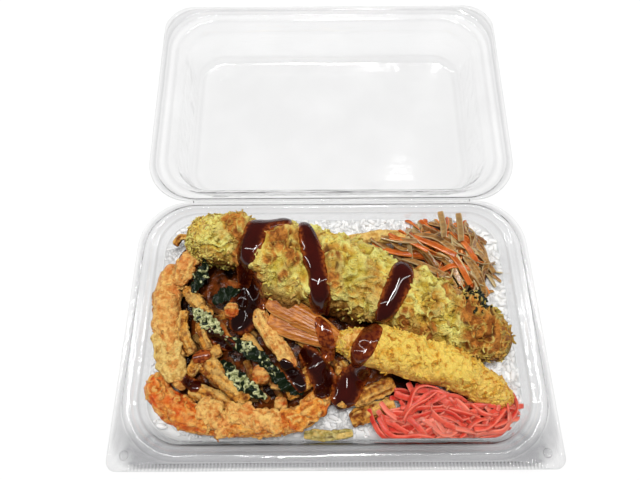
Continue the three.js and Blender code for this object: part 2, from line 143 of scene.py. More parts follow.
def lamp(name, place, width, length, power):
    """A soft rectangular lamp at a place, turned to face the meal."""
    data = bpy.data.lights.new(name, "AREA")
    data.shape = "RECTANGLE"
    data.size = width
    data.size_y = length
    data.energy = power
    holder = bpy.data.objects.new(name, data)
    away = Vector(place) - LAMPS_AIM
    holder.matrix_world = Matrix.Translation(place) @ away.to_track_quat("Z", "Y").to_matrix().to_4x4()
    bpy.context.scene.collection.objects.link(holder)


def studio():
    """A pale room: soft light from all sides, which looks brighter to the eye and through clear plastic than
    its light on the meal is, and the long ceiling lamps, which draw streaks on gloss."""
    world = bpy.data.worlds.new("pale_room")
    world.use_nodes = True
    nodes = world.node_tree.nodes
    backing = nodes["Background"]
    backing.inputs["Color"].default_value = (1, 1, 1, 1)
    strength = nodes.new("ShaderNodeMapRange")
    strength.inputs["To Min"].default_value = 0.15
    strength.inputs["To Max"].default_value = 0.75
    kind = nodes.new("ShaderNodeLightPath").outputs
    seen = nodes.new("ShaderNodeMath")
    seen.operation = "MAXIMUM"
    world.node_tree.links.new(kind["Is Transmission Ray"], seen.inputs[0])
    world.node_tree.links.new(kind["Is Camera Ray"], seen.inputs[1])
    world.node_tree.links.new(seen.outputs["Value"], strength.inputs["Value"])
    world.node_tree.links.new(strength.outputs["Result"], backing.inputs["Strength"])
    bpy.context.scene.world = world
    for one in LAMPS:
        lamp(*one)
    bpy.context.scene.view_settings.view_transform = "Standard"


def floor():
    """A wide pale floor under the pack."""
    half = 2.5
    mesh = bpy.data.meshes.new("floor")
    corners = [(-half, -half, 0), (half, -half, 0), (half, half, 0), (-half, half, 0)]
    mesh.from_pydata(corners, [], [(0, 1, 2, 3)])
    f = Finish("floor_paper")
    colour = f.mix(f.noise(40, 2), (0.95, 0.95, 0.95, 1), (0.97, 0.97, 0.97, 1))
    mesh.materials.append(f.done(colour, 0.8, f.bump(f.noise(3, 2), 0.02)))
    sheet = bpy.data.objects.new("floor", mesh)
    bpy.context.scene.collection.objects.link(sheet)


# ---- Finishes ----

def paint(red, green, blue):
    """The shader's colour for one told in the usual 0 to 255 parts."""
    parts = np.array([red, green, blue]) / 255
    linear = np.where(parts < 0.04045, parts / 12.92, ((parts + 0.055) / 1.055) ** 2.4)
    return (*linear.tolist(), 1)


class Finish:
    """A material put together from patterns on the piece's own Object coordinates, with sizes in mm."""

    def __init__(self, name):
        self.material = bpy.data.materials.new(name)
        self.material.use_nodes = True
        self.tree = self.material.node_tree
        self.tree.nodes.clear()
        self.place = self.add("ShaderNodeTexCoord").outputs["Object"]

    def add(self, kind, sockets=None, **settings):
        node = self.tree.nodes.new(kind)
        for key, value in settings.items():
            setattr(node, key, value)
        for key, value in (sockets or {}).items():
            if isinstance(value, bpy.types.NodeSocket):
                self.tree.links.new(value, node.inputs[key])
            else:
                node.inputs[key].default_value = value
        return node

    def stretched(self, x, y, z, turn=0):
        """The coordinates turned about Z and then scaled along each axis."""
        sockets = {"Vector": self.place, "Rotation": (0, 0, turn), "Scale": (x, y, z)}
        return self.add("ShaderNodeMapping", sockets).outputs["Vector"]

    def noise(self, size, detail=3, rough=0.55, place=None):
        sockets = {"Vector": place or self.place, "Scale": 1 / (size * MM)}
        sockets.update({"Detail": detail, "Roughness": rough})
        return self.add("ShaderNodeTexNoise", sockets).outputs["Fac"]

    def cells(self, size):
        sockets = {"Vector": self.place, "Scale": 1 / (size * MM)}
        return self.add("ShaderNodeTexVoronoi", sockets).outputs["Distance"]

    def share(self, value, low, high):
        """0 where the value is at low, 1 where it is at high, eased between."""
        sockets = {"Value": value, "From Min": low, "From Max": high}
        return self.add("ShaderNodeMapRange", sockets, interpolation_type="SMOOTHSTEP").outputs["Result"]

    def between(self, value, low, high):
        """A number from low to high as the value runs from 0 to 1."""
        sockets = {"Value": value, "To Min": low, "To Max": high}
        return self.add("ShaderNodeMapRange", sockets).outputs["Result"]

    def times(self, a, b):
        return self.add("ShaderNodeMath", {0: a, 1: b}, operation="MULTIPLY").outputs[0]

    def plus(self, a, b):
        return self.add("ShaderNodeMath", {0: a, 1: b}, operation="ADD").outputs[0]

    def mix(self, amount, a, b):
        node = self.add("ShaderNodeMix", data_type="RGBA")
        for socket, value in ((node.inputs[0], amount), (node.inputs[6], a), (node.inputs[7], b)):
            if isinstance(value, bpy.types.NodeSocket):
                self.tree.links.new(value, socket)
            else:
                socket.default_value = value
        return node.outputs[2]

    def mottled(self, size, detail, first, second, low=0.35, high=0.65, rough=0.55):
        """Two paints in smooth patches: the first where noise of that size is under low, the second where it
        is over high."""
        patches = self.share(self.noise(size, detail, rough), low, high)
        return self.mix(patches, paint(*first), paint(*second))

    def over(self, colour, amount, strength, red, green, blue):
        """A paint laid over the colour, by an amount from 0 to 1 and as strong as given."""
        return self.mix(self.times(amount, strength), colour, paint(red, green, blue))

    def tint(self, part):
        """One part, Red, Green or Blue, of the amounts that a piece carries on its points."""
        colour = self.add("ShaderNodeAttribute", attribute_name="tint").outputs["Color"]
        return self.add("ShaderNodeSeparateColor", {"Color": colour}).outputs[part]

    def tinted(self, colour, **paints):
        """The colour under a paint for each part of the tint that is named."""
        for part, parts in paints.items():
            colour = self.mix(self.tint(part), colour, paint(*parts))
        return colour

    def bump(self, height, depth):
        """Relief as deep as depth mm where the height runs from 0 to 1."""
        sockets = {"Height": height, "Distance": depth * MM, "Strength": 1}
        return self.add("ShaderNodeBump", sockets).outputs["Normal"]

    def done(self, colour, roughness, normal, **constants):
        """Ends the material in one Principled shader; the constants go straight onto its sockets."""
        sockets = {"Base Color": colour, "Roughness": roughness, "Specular IOR Level": 0.22, "Normal": normal}
        shader = self.add("ShaderNodeBsdfPrincipled", sockets)
        for key, value in constants.items():
            shader.inputs[key.replace("_", " ")].default_value = value
        self.surface(shader.outputs["BSDF"])
        return self.material

    def surface(self, shader):
        self.add("ShaderNodeOutputMaterial", {"Surface": shader})


def soft_inside(weight, depth, spread=(1, 0.55, 0.3)):
    """Sockets for light that spreads under a moist surface, as far as depth mm, red farther than blue."""
    return {
        "Subsurface_Weight": weight,
        "Subsurface_Radius": spread,
        "Subsurface_Scale": depth * MM,
    }


def clear_plastic():
    """Thin pressed sheet: clear, slightly wavy from pressing, with painted grey shade where the tint's Red
    says, with fine ribs in its grip band by Green, bumped and painted darker as shade, and no lens along its
    cut edge by Blue. Light on its way to what lies behind goes straight through."""
    f = Finish("clear_plastic")
    waves = f.noise(14, 2)
    haze = f.share(f.noise(30, 2), 0.3, 0.8)
    roughness = f.between(haze, 0.02, 0.06)
    colour = f.mix(haze, paint(250, 250, 250), paint(255, 255, 255))
    # Painted grey shade where the tint's Red says: on walls, at bends, on the flange and in fine lines along
    # the front.
    colour = f.tinted(colour, Red=(178, 178, 180))
    wave = f.add("ShaderNodeTexWave", {"Vector": f.place, "Scale": 0.32 / (1.6 * MM)}, bands_direction="X")
    ribs = f.times(wave.outputs["Fac"], f.tint("Green"))
    # The grip ribs are painted darker as shade, besides their bump.
    colour = f.over(colour, ribs, 0.55, 150, 150, 152)
    drawn = f.noise(5, 3, 0.6, f.stretched(0.12, 1, 1))
    pressed = f.plus(f.plus(waves, f.times(drawn, 0.5)), ribs)
    glass = f.add("ShaderNodeBsdfPrincipled", {
        "Base Color": colour, "Roughness": roughness, "IOR": 1.49, "Transmission Weight": 1,
        "Normal": f.bump(pressed, 0.35),
    })
    passing = f.add("ShaderNodeBsdfTransparent", {"Color": (0.95, 0.95, 0.95, 1)})
    kind = f.add("ShaderNodeLightPath").outputs
    lighting = f.plus(kind["Is Shadow Ray"], kind["Is Diffuse Ray"])
    lighting = f.plus(lighting, f.times(f.tint("Blue"), 0.75))
    both = f.add("ShaderNodeMixShader", {0: lighting, 1: glass.outputs["BSDF"], 2: passing.outputs["BSDF"]})
    f.surface(both.outputs["Shader"])
    return f.material


def laver_batter():
    """Curdled batter with green laver: pale where it is crumbly, brown where it is thin, flecked green. The
    tint's Green paints crumb tops paler as highlight, Red browns thin patches and the shaded lower front
    side, and Blue paints shade dark.
    """
    f = Finish("laver_batter")
    crumb = f.mottled(3, 4, (210, 152, 46), (248, 212, 88))
    crumb = f.over(crumb, f.share(f.noise(12, 2), 0.4, 0.6), 0.7, 202, 182, 62)
    # Green: crumb tops painted paler, as highlight.
    crumb = f.tinted(crumb, Green=(252, 242, 142))
    brown = f.mottled(4, 4, (138, 66, 20), (220, 140, 58))
    colour = f.mix(f.tint("Red"), crumb, brown)
    # Blue: painted shade in the hollows, low down and on the lower front side.
    colour = f.over(colour, f.tint("Blue"), 0.85, 84, 42, 8)
    colour = f.over(colour, f.share(f.noise(1.2, 4, 0.7), 0.5, 0.3), 0.3, 132, 92, 26)
    flecks = f.times(f.share(f.cells(1.7), 0.2, 0.1), f.share(f.noise(9, 2), 0.45, 0.6))
    colour = f.over(colour, flecks, 0.8, 66, 84, 20)
    grain = f.plus(f.noise(0.9, 5, 0.7), f.times(f.cells(0.8), 0.6))
    return f.done(colour, f.between(f.noise(4), 0.28, 0.6), f.bump(grain, 0.9), **soft_inside(0.12, 1))


def yellow_batter():
    """The prawn's batter: bright yellow, paler on its crumbs by the tint's Green, as painted highlight,
    orange-tan by Red and brown by Blue, as painted shade in hollows and low down."""
    f = Finish("yellow_batter")
    crumb = f.mottled(5, 3, (214, 136, 28), (240, 178, 44))
    # Green: crumbs painted paler as highlight, most on the back.
    crumb = f.tinted(crumb, Green=(255, 220, 104))
    neck = f.mottled(2.5, 3, (222, 146, 58), (255, 212, 122))
    colour = f.mix(f.tint("Red"), crumb, neck)
    # Blue: painted shade in hollows and on the lower parts.
    colour = f.over(colour, f.tint("Blue"), 0.7, 176, 96, 14)
    colour = f.over(colour, f.share(f.noise(1.2, 4, 0.7), 0.5, 0.3), 0.4, 188, 116, 20)
    grain = f.plus(f.noise(0.8, 5, 0.7), f.times(f.cells(0.9), 0.5))
    return f.done(colour, 0.3, f.bump(grain, 0.8), Specular_IOR_Level=0.35, **soft_inside(0.15, 1.2))


def golden_batter(name, deep, pale, rich):
    """Fried batter over cut vegetable, mottled from deep to pale: rich by the tint's Red, palest on ridge
    tops by Green, as painted highlight, and dark by Blue, as painted shade in hollows and underneath."""
    f = Finish(name)
    colour = f.mottled(2.6, 4, deep, pale, 0.38, 0.62, 0.6)
    reddened = f.over(paint(*rich), f.share(f.noise(3.2, 3), 0.4, 0.7), 0.5, *pale)
    colour = f.mix(f.tint("Red"), colour, reddened)
    # Green: ridge tops painted pale as highlight. Blue: painted shade in hollows and underneath.
    colour = f.over(colour, f.tint("Green"), 0.65, 255, 212, 122)
    colour = f.over(colour, f.tint("Blue"), 0.95, 72, 26, 6)
    specks = f.share(f.noise(1.6, 4, 0.65), 0.52, 0.34)
    colour = f.over(colour, specks, 0.3, *(0.7 * part for part in deep))
    grain = f.plus(f.noise(1.0, 5, 0.65), f.times(f.cells(1.3), 0.4))
    return f.done(colour, f.between(f.noise(3), 0.2, 0.5), f.bump(grain, 1.1), **soft_inside(0.1, 1))


def soaked_finish():
    """The inside of the fritter: soaked through with sauce and oil, glossy in places, and painted dark as the
    shade in the gaps between the pieces on it.
    """
    f = Finish("soaked_core_painted_shade")
    colour = f.mottled(5, 4, (26, 9, 4), (132, 62, 18), 0.35, 0.7)
    grain = f.plus(f.noise(1.2, 4), f.cells(2.2))
    return f.done(colour, f.between(f.noise(4), 0.08, 0.35), f.bump(grain, 0.4), Specular_IOR_Level=0.25)


def tail_shell():
    """The prawn's tail fan: orange-tan with fine lines along it, glossy, pale along its edges."""
    f = Finish("tail_shell")
    lines = f.noise(1.3, 3, 0.6, f.stretched(0.16, 1.3, 1, 0.42))
    colour = f.mix(f.share(lines, 0.25, 0.75), paint(150, 76, 20), paint(200, 128, 50))
    colour = f.mix(f.share(f.noise(6, 2), 0.5, 0.7), colour, paint(212, 136, 60))
    colour = f.over(colour, f.tint("Green"), 0.6, 246, 196, 124)
    colour = f.over(colour, f.tint("Red"), 0.3, 120, 50, 10)
    return f.done(colour, 0.26, f.bump(lines, 0.2), Specular_IOR_Level=0.35, **soft_inside(0.2, 1.2))


def leaf_finish():
    """A dark green leaf, glossy with oil, under patches of pale curdled batter with dark flecks."""
    f = Finish("leaf")
    green = f.mix(f.noise(3, 3), paint(6, 12, 7), paint(26, 40, 18))
    batter = f.mottled(1.4, 4, (118, 122, 72), (222, 222, 168))
    batter = f.mix(f.share(f.cells(1.2), 0.36, 0.22), batter, paint(20, 30, 14))
    patch = f.tint("Red")
    colour = f.mix(patch, green, batter)
    relief = f.bump(f.noise(0.9, 4, 0.7), 0.35)
    return f.done(colour, f.between(patch, 0.16, 0.42), relief, **soft_inside(0.06, 0.8))


def ginger_finish():
    """Red pickled ginger: wet coral strips, translucent, with fibres and paler places. The tint's Blue paints
    the heap's core dark red as shade.
    """
    f = Finish("ginger")
    colour = f.mottled(5, 3, (214, 66, 50), (238, 100, 80))
    colour = f.tinted(colour, Red=(200, 48, 38), Green=(250, 138, 116), Blue=(150, 20, 16))
    fibres = f.noise(1, 3, 0.6, f.stretched(0.35, 1, 1))
    return f.done(colour, 0.28, f.bump(fibres, 0.14), **soft_inside(0.5, 3))


def burdock_finish():
    """Braised burdock: beige strips, half clear with sauce, with fibres, darker in soaked places by the
    tint's Red and paler by Green; its Blue paints the heap's core dark as shade.
    """
    f = Finish("burdock")
    fibres = f.noise(1.4, 4, 0.6, f.stretched(0.4, 1, 1, -0.8))
    colour = f.mix(f.share(fibres, 0.35, 0.65), paint(120, 72, 28), paint(190, 138, 72))
    colour = f.tinted(colour, Red=(118, 66, 26), Green=(208, 186, 136), Blue=(70, 30, 10))
    return f.done(colour, 0.16, f.bump(fibres, 0.2), Specular_IOR_Level=0.4, **soft_inside(0.25, 1.8))


def carrot_finish():
    """Braised carrot: orange strips, redder where the sauce has soaked in."""
    f = Finish("carrot")
    colour = f.mottled(3, 3, (178, 76, 20), (214, 108, 42))
    colour = f.tinted(colour, Red=(152, 60, 18), Green=(240, 150, 72))
    relief = f.bump(f.noise(1, 3), 0.12)
    return f.done(colour, 0.16, relief, Specular_IOR_Level=0.4, **soft_inside(0.3, 2))


def rice_finish():
    """Steamed rice: white, a little glassy and moist, warmer where the grains meet."""
    f = Finish("rice")
    colour = f.mix(f.noise(5, 3), paint(254, 251, 246), paint(255, 255, 253))
    inside = soft_inside(0.6, 1.4, (1, 0.97, 0.94))
    return f.done(colour, 0.32, f.bump(f.noise(0.9, 3), 0.06), **inside)


def sauce_finish():
    """Thick fruity brown sauce: red-amber where it thins out, and nearly black where it stands deep."""
    f = Finish("sauce")
    deep = f.mix(f.noise(7, 2), paint(44, 7, 3), paint(94, 19, 7))
    thin = f.mottled(1.6, 3, (96, 30, 8), (182, 92, 34), 0.38, 0.62)
    colour = f.mix(f.tint("Red"), thin, deep)
    # Green: nearly black; on the low pool by the prawn this is painted shade as well as sauce.
    colour = f.tinted(colour, Green=(14, 4, 3))
    relief = f.bump(f.noise(9, 1), 0.08)
    return f.done(colour, 0.06, relief, Specular_IOR_Level=0.4, **soft_inside(0.06, 1))


# ---- Noise worked out on whole arrays of points ----

def scattered(cells, seed):
    """An even-looking number from 0 to 1 for each whole-number cell (…, 3): its parts are multiplied by
    large odd numbers, mixed by exclusive or, and folded on themselves."""
    x, y, z = (cells[..., k].astype(np.int64) for k in range(3))
    mixed = (x * 73856093 ^ y * 19349663 ^ z * 83492791 ^ (seed + 1) * 961748941) & 0xFFFFFFFF
    mixed = ((mixed ^ mixed >> 15) * 1274126177) & 0xFFFFFFFF
    mixed = ((mixed ^ mixed >> 13) * 1911520717) & 0xFFFFFFFF
    return ((mixed ^ mixed >> 16) & 0xFFFFFF) / 0xFFFFFF


def swell(points, size, seed):
    """Value noise from -1 to 1: random values at the corners of cubes of that size, blended along each edge
    by 3t² - 2t³."""
    place = np.asarray(points) / size
    cell = np.floor(place).astype(np.int64)
    t = place - cell
    t = t * t * (3 - 2 * t)
    total = 0
    for corner in np.ndindex(2, 2, 2):
        weight = np.prod(np.where(corner, t, 1 - t), axis=-1)
        total = total + weight * scattered(cell + corner, seed)
    return 2 * total - 1


def knobs(points, size, seed):
    """Round knobs packed at random: one centre in each cube of that size, and the height is that of a half
    ball about the nearest centre, from 0 in the seams to 1 on top."""
    place = np.asarray(points) / size
    cell = np.floor(place).astype(np.int64)
    nearest = np.full(place.shape[:-1], 9.0)
    for step in np.ndindex(3, 3, 3):
        here = cell + np.array(step) - 1
        centre = here + np.stack([scattered(here, seed + k) for k in range(3)], axis=-1)
        nearest = np.minimum(nearest, np.sum((place - centre) ** 2, axis=-1))
    return np.sqrt(np.clip(1 - nearest / 0.7, 0, 1))


def ridges(points, size, seed):
    """Sharp winding ridges, 1 on their crests: one less the distance of smooth noise from zero."""
    return 1 - np.minimum(1, 2.6 * np.abs(swell(points, size, seed)))


def warped(points, size, reach, seed):
    """The points, each moved by up to reach by three runs of smooth noise."""
    return points + reach * np.stack([swell(points, size, seed + k) for k in range(3)], axis=-1)


def step_up(value, low, high):
    """0 below low, 1 above high, and 3t² - 2t³ between."""
    t = np.clip((value - low) / (high - low), 0, 1)
    return t * t * (3 - 2 * t)


# ---- Steps along and around a form ----

def eased_rows(rings):
    """Shares along a form for its rings, closer together toward both ends: (1 - cos(pi * s)) / 2."""
    return (1 - np.cos(np.pi * (np.arange(rings) + 0.5) / rings)) / 2


def full_turn(around):
    """Angles once round a section."""
    return np.arange(around) / around * 2 * np.pi


def closing(t, power):
    """How wide a form is at t, as a share, so that its ends are round: (1 - |2t - 1|^power)^(1/power)."""
    return (1 - np.abs(2 * t - 1) ** power) ** (1 / power)


def off_ends(t, steep):
    """0 at both ends of a form, rising straight to 1 within 1/steep of its length."""
    return np.minimum(1, steep * np.minimum(t, 1 - t))


def two_sided(row, across):
    """The grid of a thin band: t along it, v from edge to edge over its upper side and back under it, and
    which of the points are on the upper side."""
    v = np.concatenate([np.linspace(-1, 1, across), np.linspace(1, -1, across)])
    above = np.concatenate([np.ones(across), np.zeros(across)]) > 0
    t, v = np.meshgrid(row, v, indexing="ij")
    return t, v, above


# ---- Closed skins ----

def unit(vectors):
    """The vectors brought to length 1."""
    return vectors / np.maximum(np.linalg.norm(vectors, axis=-1, keepdims=True), 1e-9)


def normals(points):
    """Unit normals of ring grids (…, rings, around, 3): the cross product of the differences along and
    around, turned so that they point away from each ring's middle."""
    along = np.gradient(points, axis=-3)
    around = np.roll(points, -1, axis=-2) - np.roll(points, 1, axis=-2)
    cross = unit(np.cross(around, along))
    away = points - points.mean(axis=-2, keepdims=True)
    return cross * np.sign(np.sum(cross * away))


def ring_faces(rings, around):
    """Quads between neighbouring rings, and triangles from each end ring to its pole."""
    index = np.arange(rings * around).reshape(rings, around)
    beside = np.roll(index, -1, axis=1)
    quads = np.stack([index[:-1], beside[:-1], beside[1:], index[1:]], axis=-1).reshape(-1, 4)
    first = np.full(around, rings * around)
    start = np.stack([first, beside[0], index[0]], axis=-1)
    end = np.stack([first + 1, index[-1], beside[-1]], axis=-1)
    return quads, np.vstack([start, end])


def volume(vertices, triangles):
    """Six times the signed volume: the triple products of all triangles' corners, added up."""
    a, b, c = (vertices[triangles[:, k]] for k in range(3))
    return np.sum(a * np.cross(b, c))


def skin(points, tint=None):
    """Closed skins from rings of points (pieces, rings, around, 3), each shut at both ends on the middle of
    its end ring. Gives vertices, quads, triangles and the tint, with all faces outward."""
    points = points.reshape((-1, *points.shape[-3:]))
    pieces, rings, around, _ = points.shape
    tint = np.zeros((*points.shape[:-1], 3)) if tint is None else tint.reshape(points.shape)
    with_poles = [
        np.concatenate([grid.reshape(pieces, -1, 3), grid[:, [0, -1]].mean(axis=2)], axis=1).reshape(-1, 3)
        for grid in (points, tint)
    ]
    quads, triangles = ring_faces(rings, around)
    starts = np.arange(pieces)[:, None, None] * (rings * around + 2)
    quads = (quads + starts).reshape(-1, 4)
    triangles = (triangles + starts).reshape(-1, 3)
    vertices = with_poles[0]
    halves = np.vstack([quads[:, [0, 1, 2]], quads[:, [0, 2, 3]], triangles])
    if volume(vertices - vertices.mean(axis=0), halves) < 0:
        quads, triangles = quads[:, ::-1], triangles[:, ::-1]
    return vertices, quads, triangles, with_poles[1]


def piece(name, skins, material, nodes=(), body="tray"):
    """One object from closed skins, in metres, with its place in its mesh; it rides on the body."""
    counts = np.cumsum([0] + [len(one[0]) for one in skins])
    vertices = np.vstack([one[0] for one in skins]) * MM
    quads = np.vstack([one[1] + start for one, start in zip(skins, counts)])
    triangles = np.vstack([one[2] + start for one, start in zip(skins, counts)])
    tint = np.vstack([one[3] for one in skins])
    mesh = bpy.data.meshes.new(name)
    mesh.vertices.add(len(vertices))
    mesh.vertices.foreach_set("co", vertices.ravel())
    mesh.loops.add(quads.size + triangles.size)
    mesh.loops.foreach_set("vertex_index", np.concatenate([quads.ravel(), triangles.ravel()]))
    starts = np.concatenate([np.arange(len(quads)) * 4, quads.size + np.arange(len(triangles)) * 3])
    mesh.polygons.add(len(starts))
    mesh.polygons.foreach_set("loop_start", starts)
    mesh.polygons.foreach_set("use_smooth", np.ones(len(starts), bool))
    amounts = mesh.color_attributes.new("tint", "FLOAT_COLOR", "POINT")
    amounts.data.foreach_set("color", np.column_stack([np.clip(tint, 0, 1), np.ones(len(tint))]).ravel())
    mesh.update(calc_edges=True)
    mesh.materials.append(material)
    made = bpy.data.objects.new(name, mesh)
    bpy.context.scene.collection.objects.link(made)
    if nodes:
        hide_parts(*nodes)
    if body:
        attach(made, body)
    return made


# ---- Paths and rounded forms ----

def smooth_path(stops, t):
    """Points and unit tangents at shares t of a centripetal Catmull-Rom curve through the stops: the knots
    are spaced by the square root of the distance between stops."""
    stops = np.asarray(stops, float)
    run = np.vstack([2 * stops[0] - stops[1], stops, 2 * stops[-1] - stops[-2]])
    place = np.clip(np.asarray(t, float) * (len(stops) - 1), 0, len(stops) - 1 - 1e-9)
    k = place.astype(int)
    w = (place - k)[..., None]
    p0, p1, p2, p3 = (run[k + i] for i in range(4))
    d0, d1, d2 = (
        np.maximum(np.linalg.norm(b - a, axis=-1, keepdims=True), 1e-9) ** 0.5
        for a, b in ((p0, p1), (p1, p2), (p2, p3))
    )
    m1 = ((p1 - p0) / d0 - (p2 - p0) / (d0 + d1) + (p2 - p1) / d1) * d1
    m2 = ((p2 - p1) / d1 - (p3 - p1) / (d1 + d2) + (p3 - p2) / d2) * d1
    a = 2 * p1 - 2 * p2 + m1 + m2
    b = -3 * p1 + 3 * p2 - 2 * m1 - m2
    return ((a * w + b) * w + m1) * w + p1, unit((3 * a * w + 2 * b) * w + m1)


def sides(tangent):
    """The level direction to the right of a path, and the direction square to both, roughly upward."""
    side = unit(np.stack([tangent[..., 1], -tangent[..., 0], 0 * tangent[..., 0]], axis=-1))
    return side, np.cross(side, tangent)


def uneven(t, turn, seed):
    """Crossed waves that close round a section, between -1 and 1."""
    broad = np.sin(17 * t + turn + seed)
    middle = np.sin(29 * t - 2 * turn + 2.1 * seed)
    fine = np.sin(43 * t + 3 * turn + 3.7 * seed)
    return 0.5 * broad + 0.3 * middle + 0.2 * fine


def form(path, half_width, half_height, rings, around, seed, lump, blunt=3):
    """A rounded form drawn out along a path, as rings of points (rings, around, 3), with its t and turn. The
    section is an upright ellipse, closed at the ends by closing() and swollen by crossed waves, and no point
    is lower than the food's floor."""
    t, turn = np.meshgrid(eased_rows(rings), full_turn(around), indexing="ij")
    point, tangent = smooth_path(path, t)
    side, up = sides(tangent)
    shape = closing(t, blunt) * (1 + lump * uneven(t, turn, seed))
    points = point + side * (half_width(t) * shape * np.cos(turn))[..., None]
    points = points + up * (half_height(t) * shape * np.sin(turn))[..., None]
    points[..., 2] = np.maximum(points[..., 2], FOOD_FLOOR)
    return points, t, turn


def even(size):
    """The same half width or half height all along a form."""
    return lambda t: size + 0 * t


def in_plan(path):
    """Stops told from above, with height 0."""
    return np.column_stack([np.asarray(path, float), np.zeros(len(path))])


def round_outline(outline, share):
    """Points at shares of the way round a smooth closed outline, told from above."""
    stops = in_plan([outline[-1], *outline, outline[0], outline[1]])
    return smooth_path(stops, (1 + share * len(outline)) / (len(stops) - 1))[0]


# ---- The heap: how high things lie in the tray so far ----

class Heap:
    """Heights of what has been laid so far, on a level grid; each new piece is laid on them."""

    CELL = 0.6
    LEFT, FRONT = -98.0, -63.0

    def __init__(self):
        across = int(-2 * self.LEFT / self.CELL) + 1
        deep = int(-2 * self.FRONT / self.CELL) + 1
        self.top = np.full((deep, across), RICE_TOP)
        self.ready = {}

    def cells(self, x, y):
        column = np.clip((x - self.LEFT) / self.CELL, 0, self.top.shape[1] - 1.001)
        row = np.clip((y - self.FRONT) / self.CELL, 0, self.top.shape[0] - 1.001)
        return row, column

    def lay(self, points):
        """Raises each cell to the highest of the points over it."""
        flat = points.reshape(-1, 3)
        row, column = self.cells(flat[:, 0], flat[:, 1])
        np.maximum.at(self.top, (np.rint(row).astype(int), np.rint(column).astype(int)), flat[:, 2])
        self.ready = {}

    def smoothed(self, times):
        """The heights with pits of a cell filled, and averaged with their neighbours so many times."""
        if times not in self.ready:
            high = self.top
            for axis in (0, 1):
                high = np.maximum(high, np.maximum(np.roll(high, 1, axis), np.roll(high, -1, axis)))
            for axis in (0, 1):
                high = np.minimum(high, np.minimum(np.roll(high, 1, axis), np.roll(high, -1, axis)))
            for _ in range(times):
                for axis in (0, 1):
                    high = 0.5 * high + 0.25 * (np.roll(high, 1, axis) + np.roll(high, -1, axis))
            self.ready[times] = high
        return self.ready[times]

    def height(self, x, y, times=1):
        """The height over a place, blended between the four cells about it."""
        high = self.smoothed(times)
        row, column = self.cells(x, y)
        r, c = row.astype(int), column.astype(int)
        u, v = row - r, column - c
        low = (1 - v) * high[r, c] + v * high[r, c + 1]
        far = (1 - v) * high[r + 1, c] + v * high[r + 1, c + 1]
        return (1 - u) * low + u * far

    def slope(self, x, y, times):
        """The unit normal of the smoothed heights."""
        d = self.CELL
        dx = (self.height(x + d, y, times) - self.height(x - d, y, times)) / (2 * d)
        dy = (self.height(x, y + d, times) - self.height(x, y - d, times)) / (2 * d)
        return unit(np.stack([-dx, -dy, np.ones_like(dx)], axis=-1))


heap = Heap()


# ---- The pressed sheet of the tray and the lid ----

def rounded(line, spacing, times):
    """A line with points at even spacing, its bends rounded by averaging neighbours so many times."""
    steps = np.hypot(np.diff(line[:, 0]), np.diff(line[:, 2]))
    length = np.concatenate([[0], np.cumsum(steps)])
    at = np.linspace(0, length[-1], int(length[-1] / spacing) + 1)
    fine = np.stack([np.interp(at, length, column) for column in line.T], axis=1)
    for _ in range(times):
        fine[1:-1] = 0.5 * fine[1:-1] + 0.25 * (fine[2:] + fine[:-2])
    return fine


def offset_line(line, distance):
    """A line moved sideways by a distance; its corner radii follow, so that the sheet keeps its wall."""
    along = unit(np.gradient(line[:, [0, 2]], axis=0))
    along[0] = along[-1] = (1, 0)
    inward, up = -along[:, 1] * distance, along[:, 0] * distance
    return line + np.stack([inward, inward, up, -inward, -inward], axis=1)


def rounded_oblongs(line, corner_steps=14, long_steps=48, short_steps=26):
    """Rings of a rounded oblong, one for each row of the line (rows, around, 3), clockwise from the back:
    four quarter circles joined by straight runs."""
    u, u_back, z, front, back = (line[:, k, None] for k in range(5))
    x_back, y_back = PACK_WIDTH / 2 - u - back, PACK_DEPTH / 2 - u_back - back
    x_front, y_front = PACK_WIDTH / 2 - u - front, front + u - PACK_DEPTH / 2
    corners = [
        (x_back, y_back, back), (x_front, y_front, front),
        (-x_front, y_front, front), (-x_back, y_back, back),
    ]
    arcs = []
    for corner, (x, y, radius) in enumerate(corners):
        turn = np.pi / 2 * (1 - corner - np.linspace(0, 1, corner_steps + 1))
        arcs.append(np.stack([x + radius * np.cos(turn), y + radius * np.sin(turn)], axis=-1))
    runs = []
    for corner, arc in enumerate(arcs):
        following = arcs[(corner + 1) % 4][:, :1]
        steps = short_steps if corner % 2 == 0 else long_steps
        share = np.linspace(0, 1, steps + 1)[1:-1, None]
        runs += [arc, arc[:, -1:] * (1 - share) + following * share]
    plan = np.concatenate(runs, axis=1)
    return np.concatenate([plan, np.broadcast_to(z[..., None], (*plan.shape[:2], 1))], axis=-1)


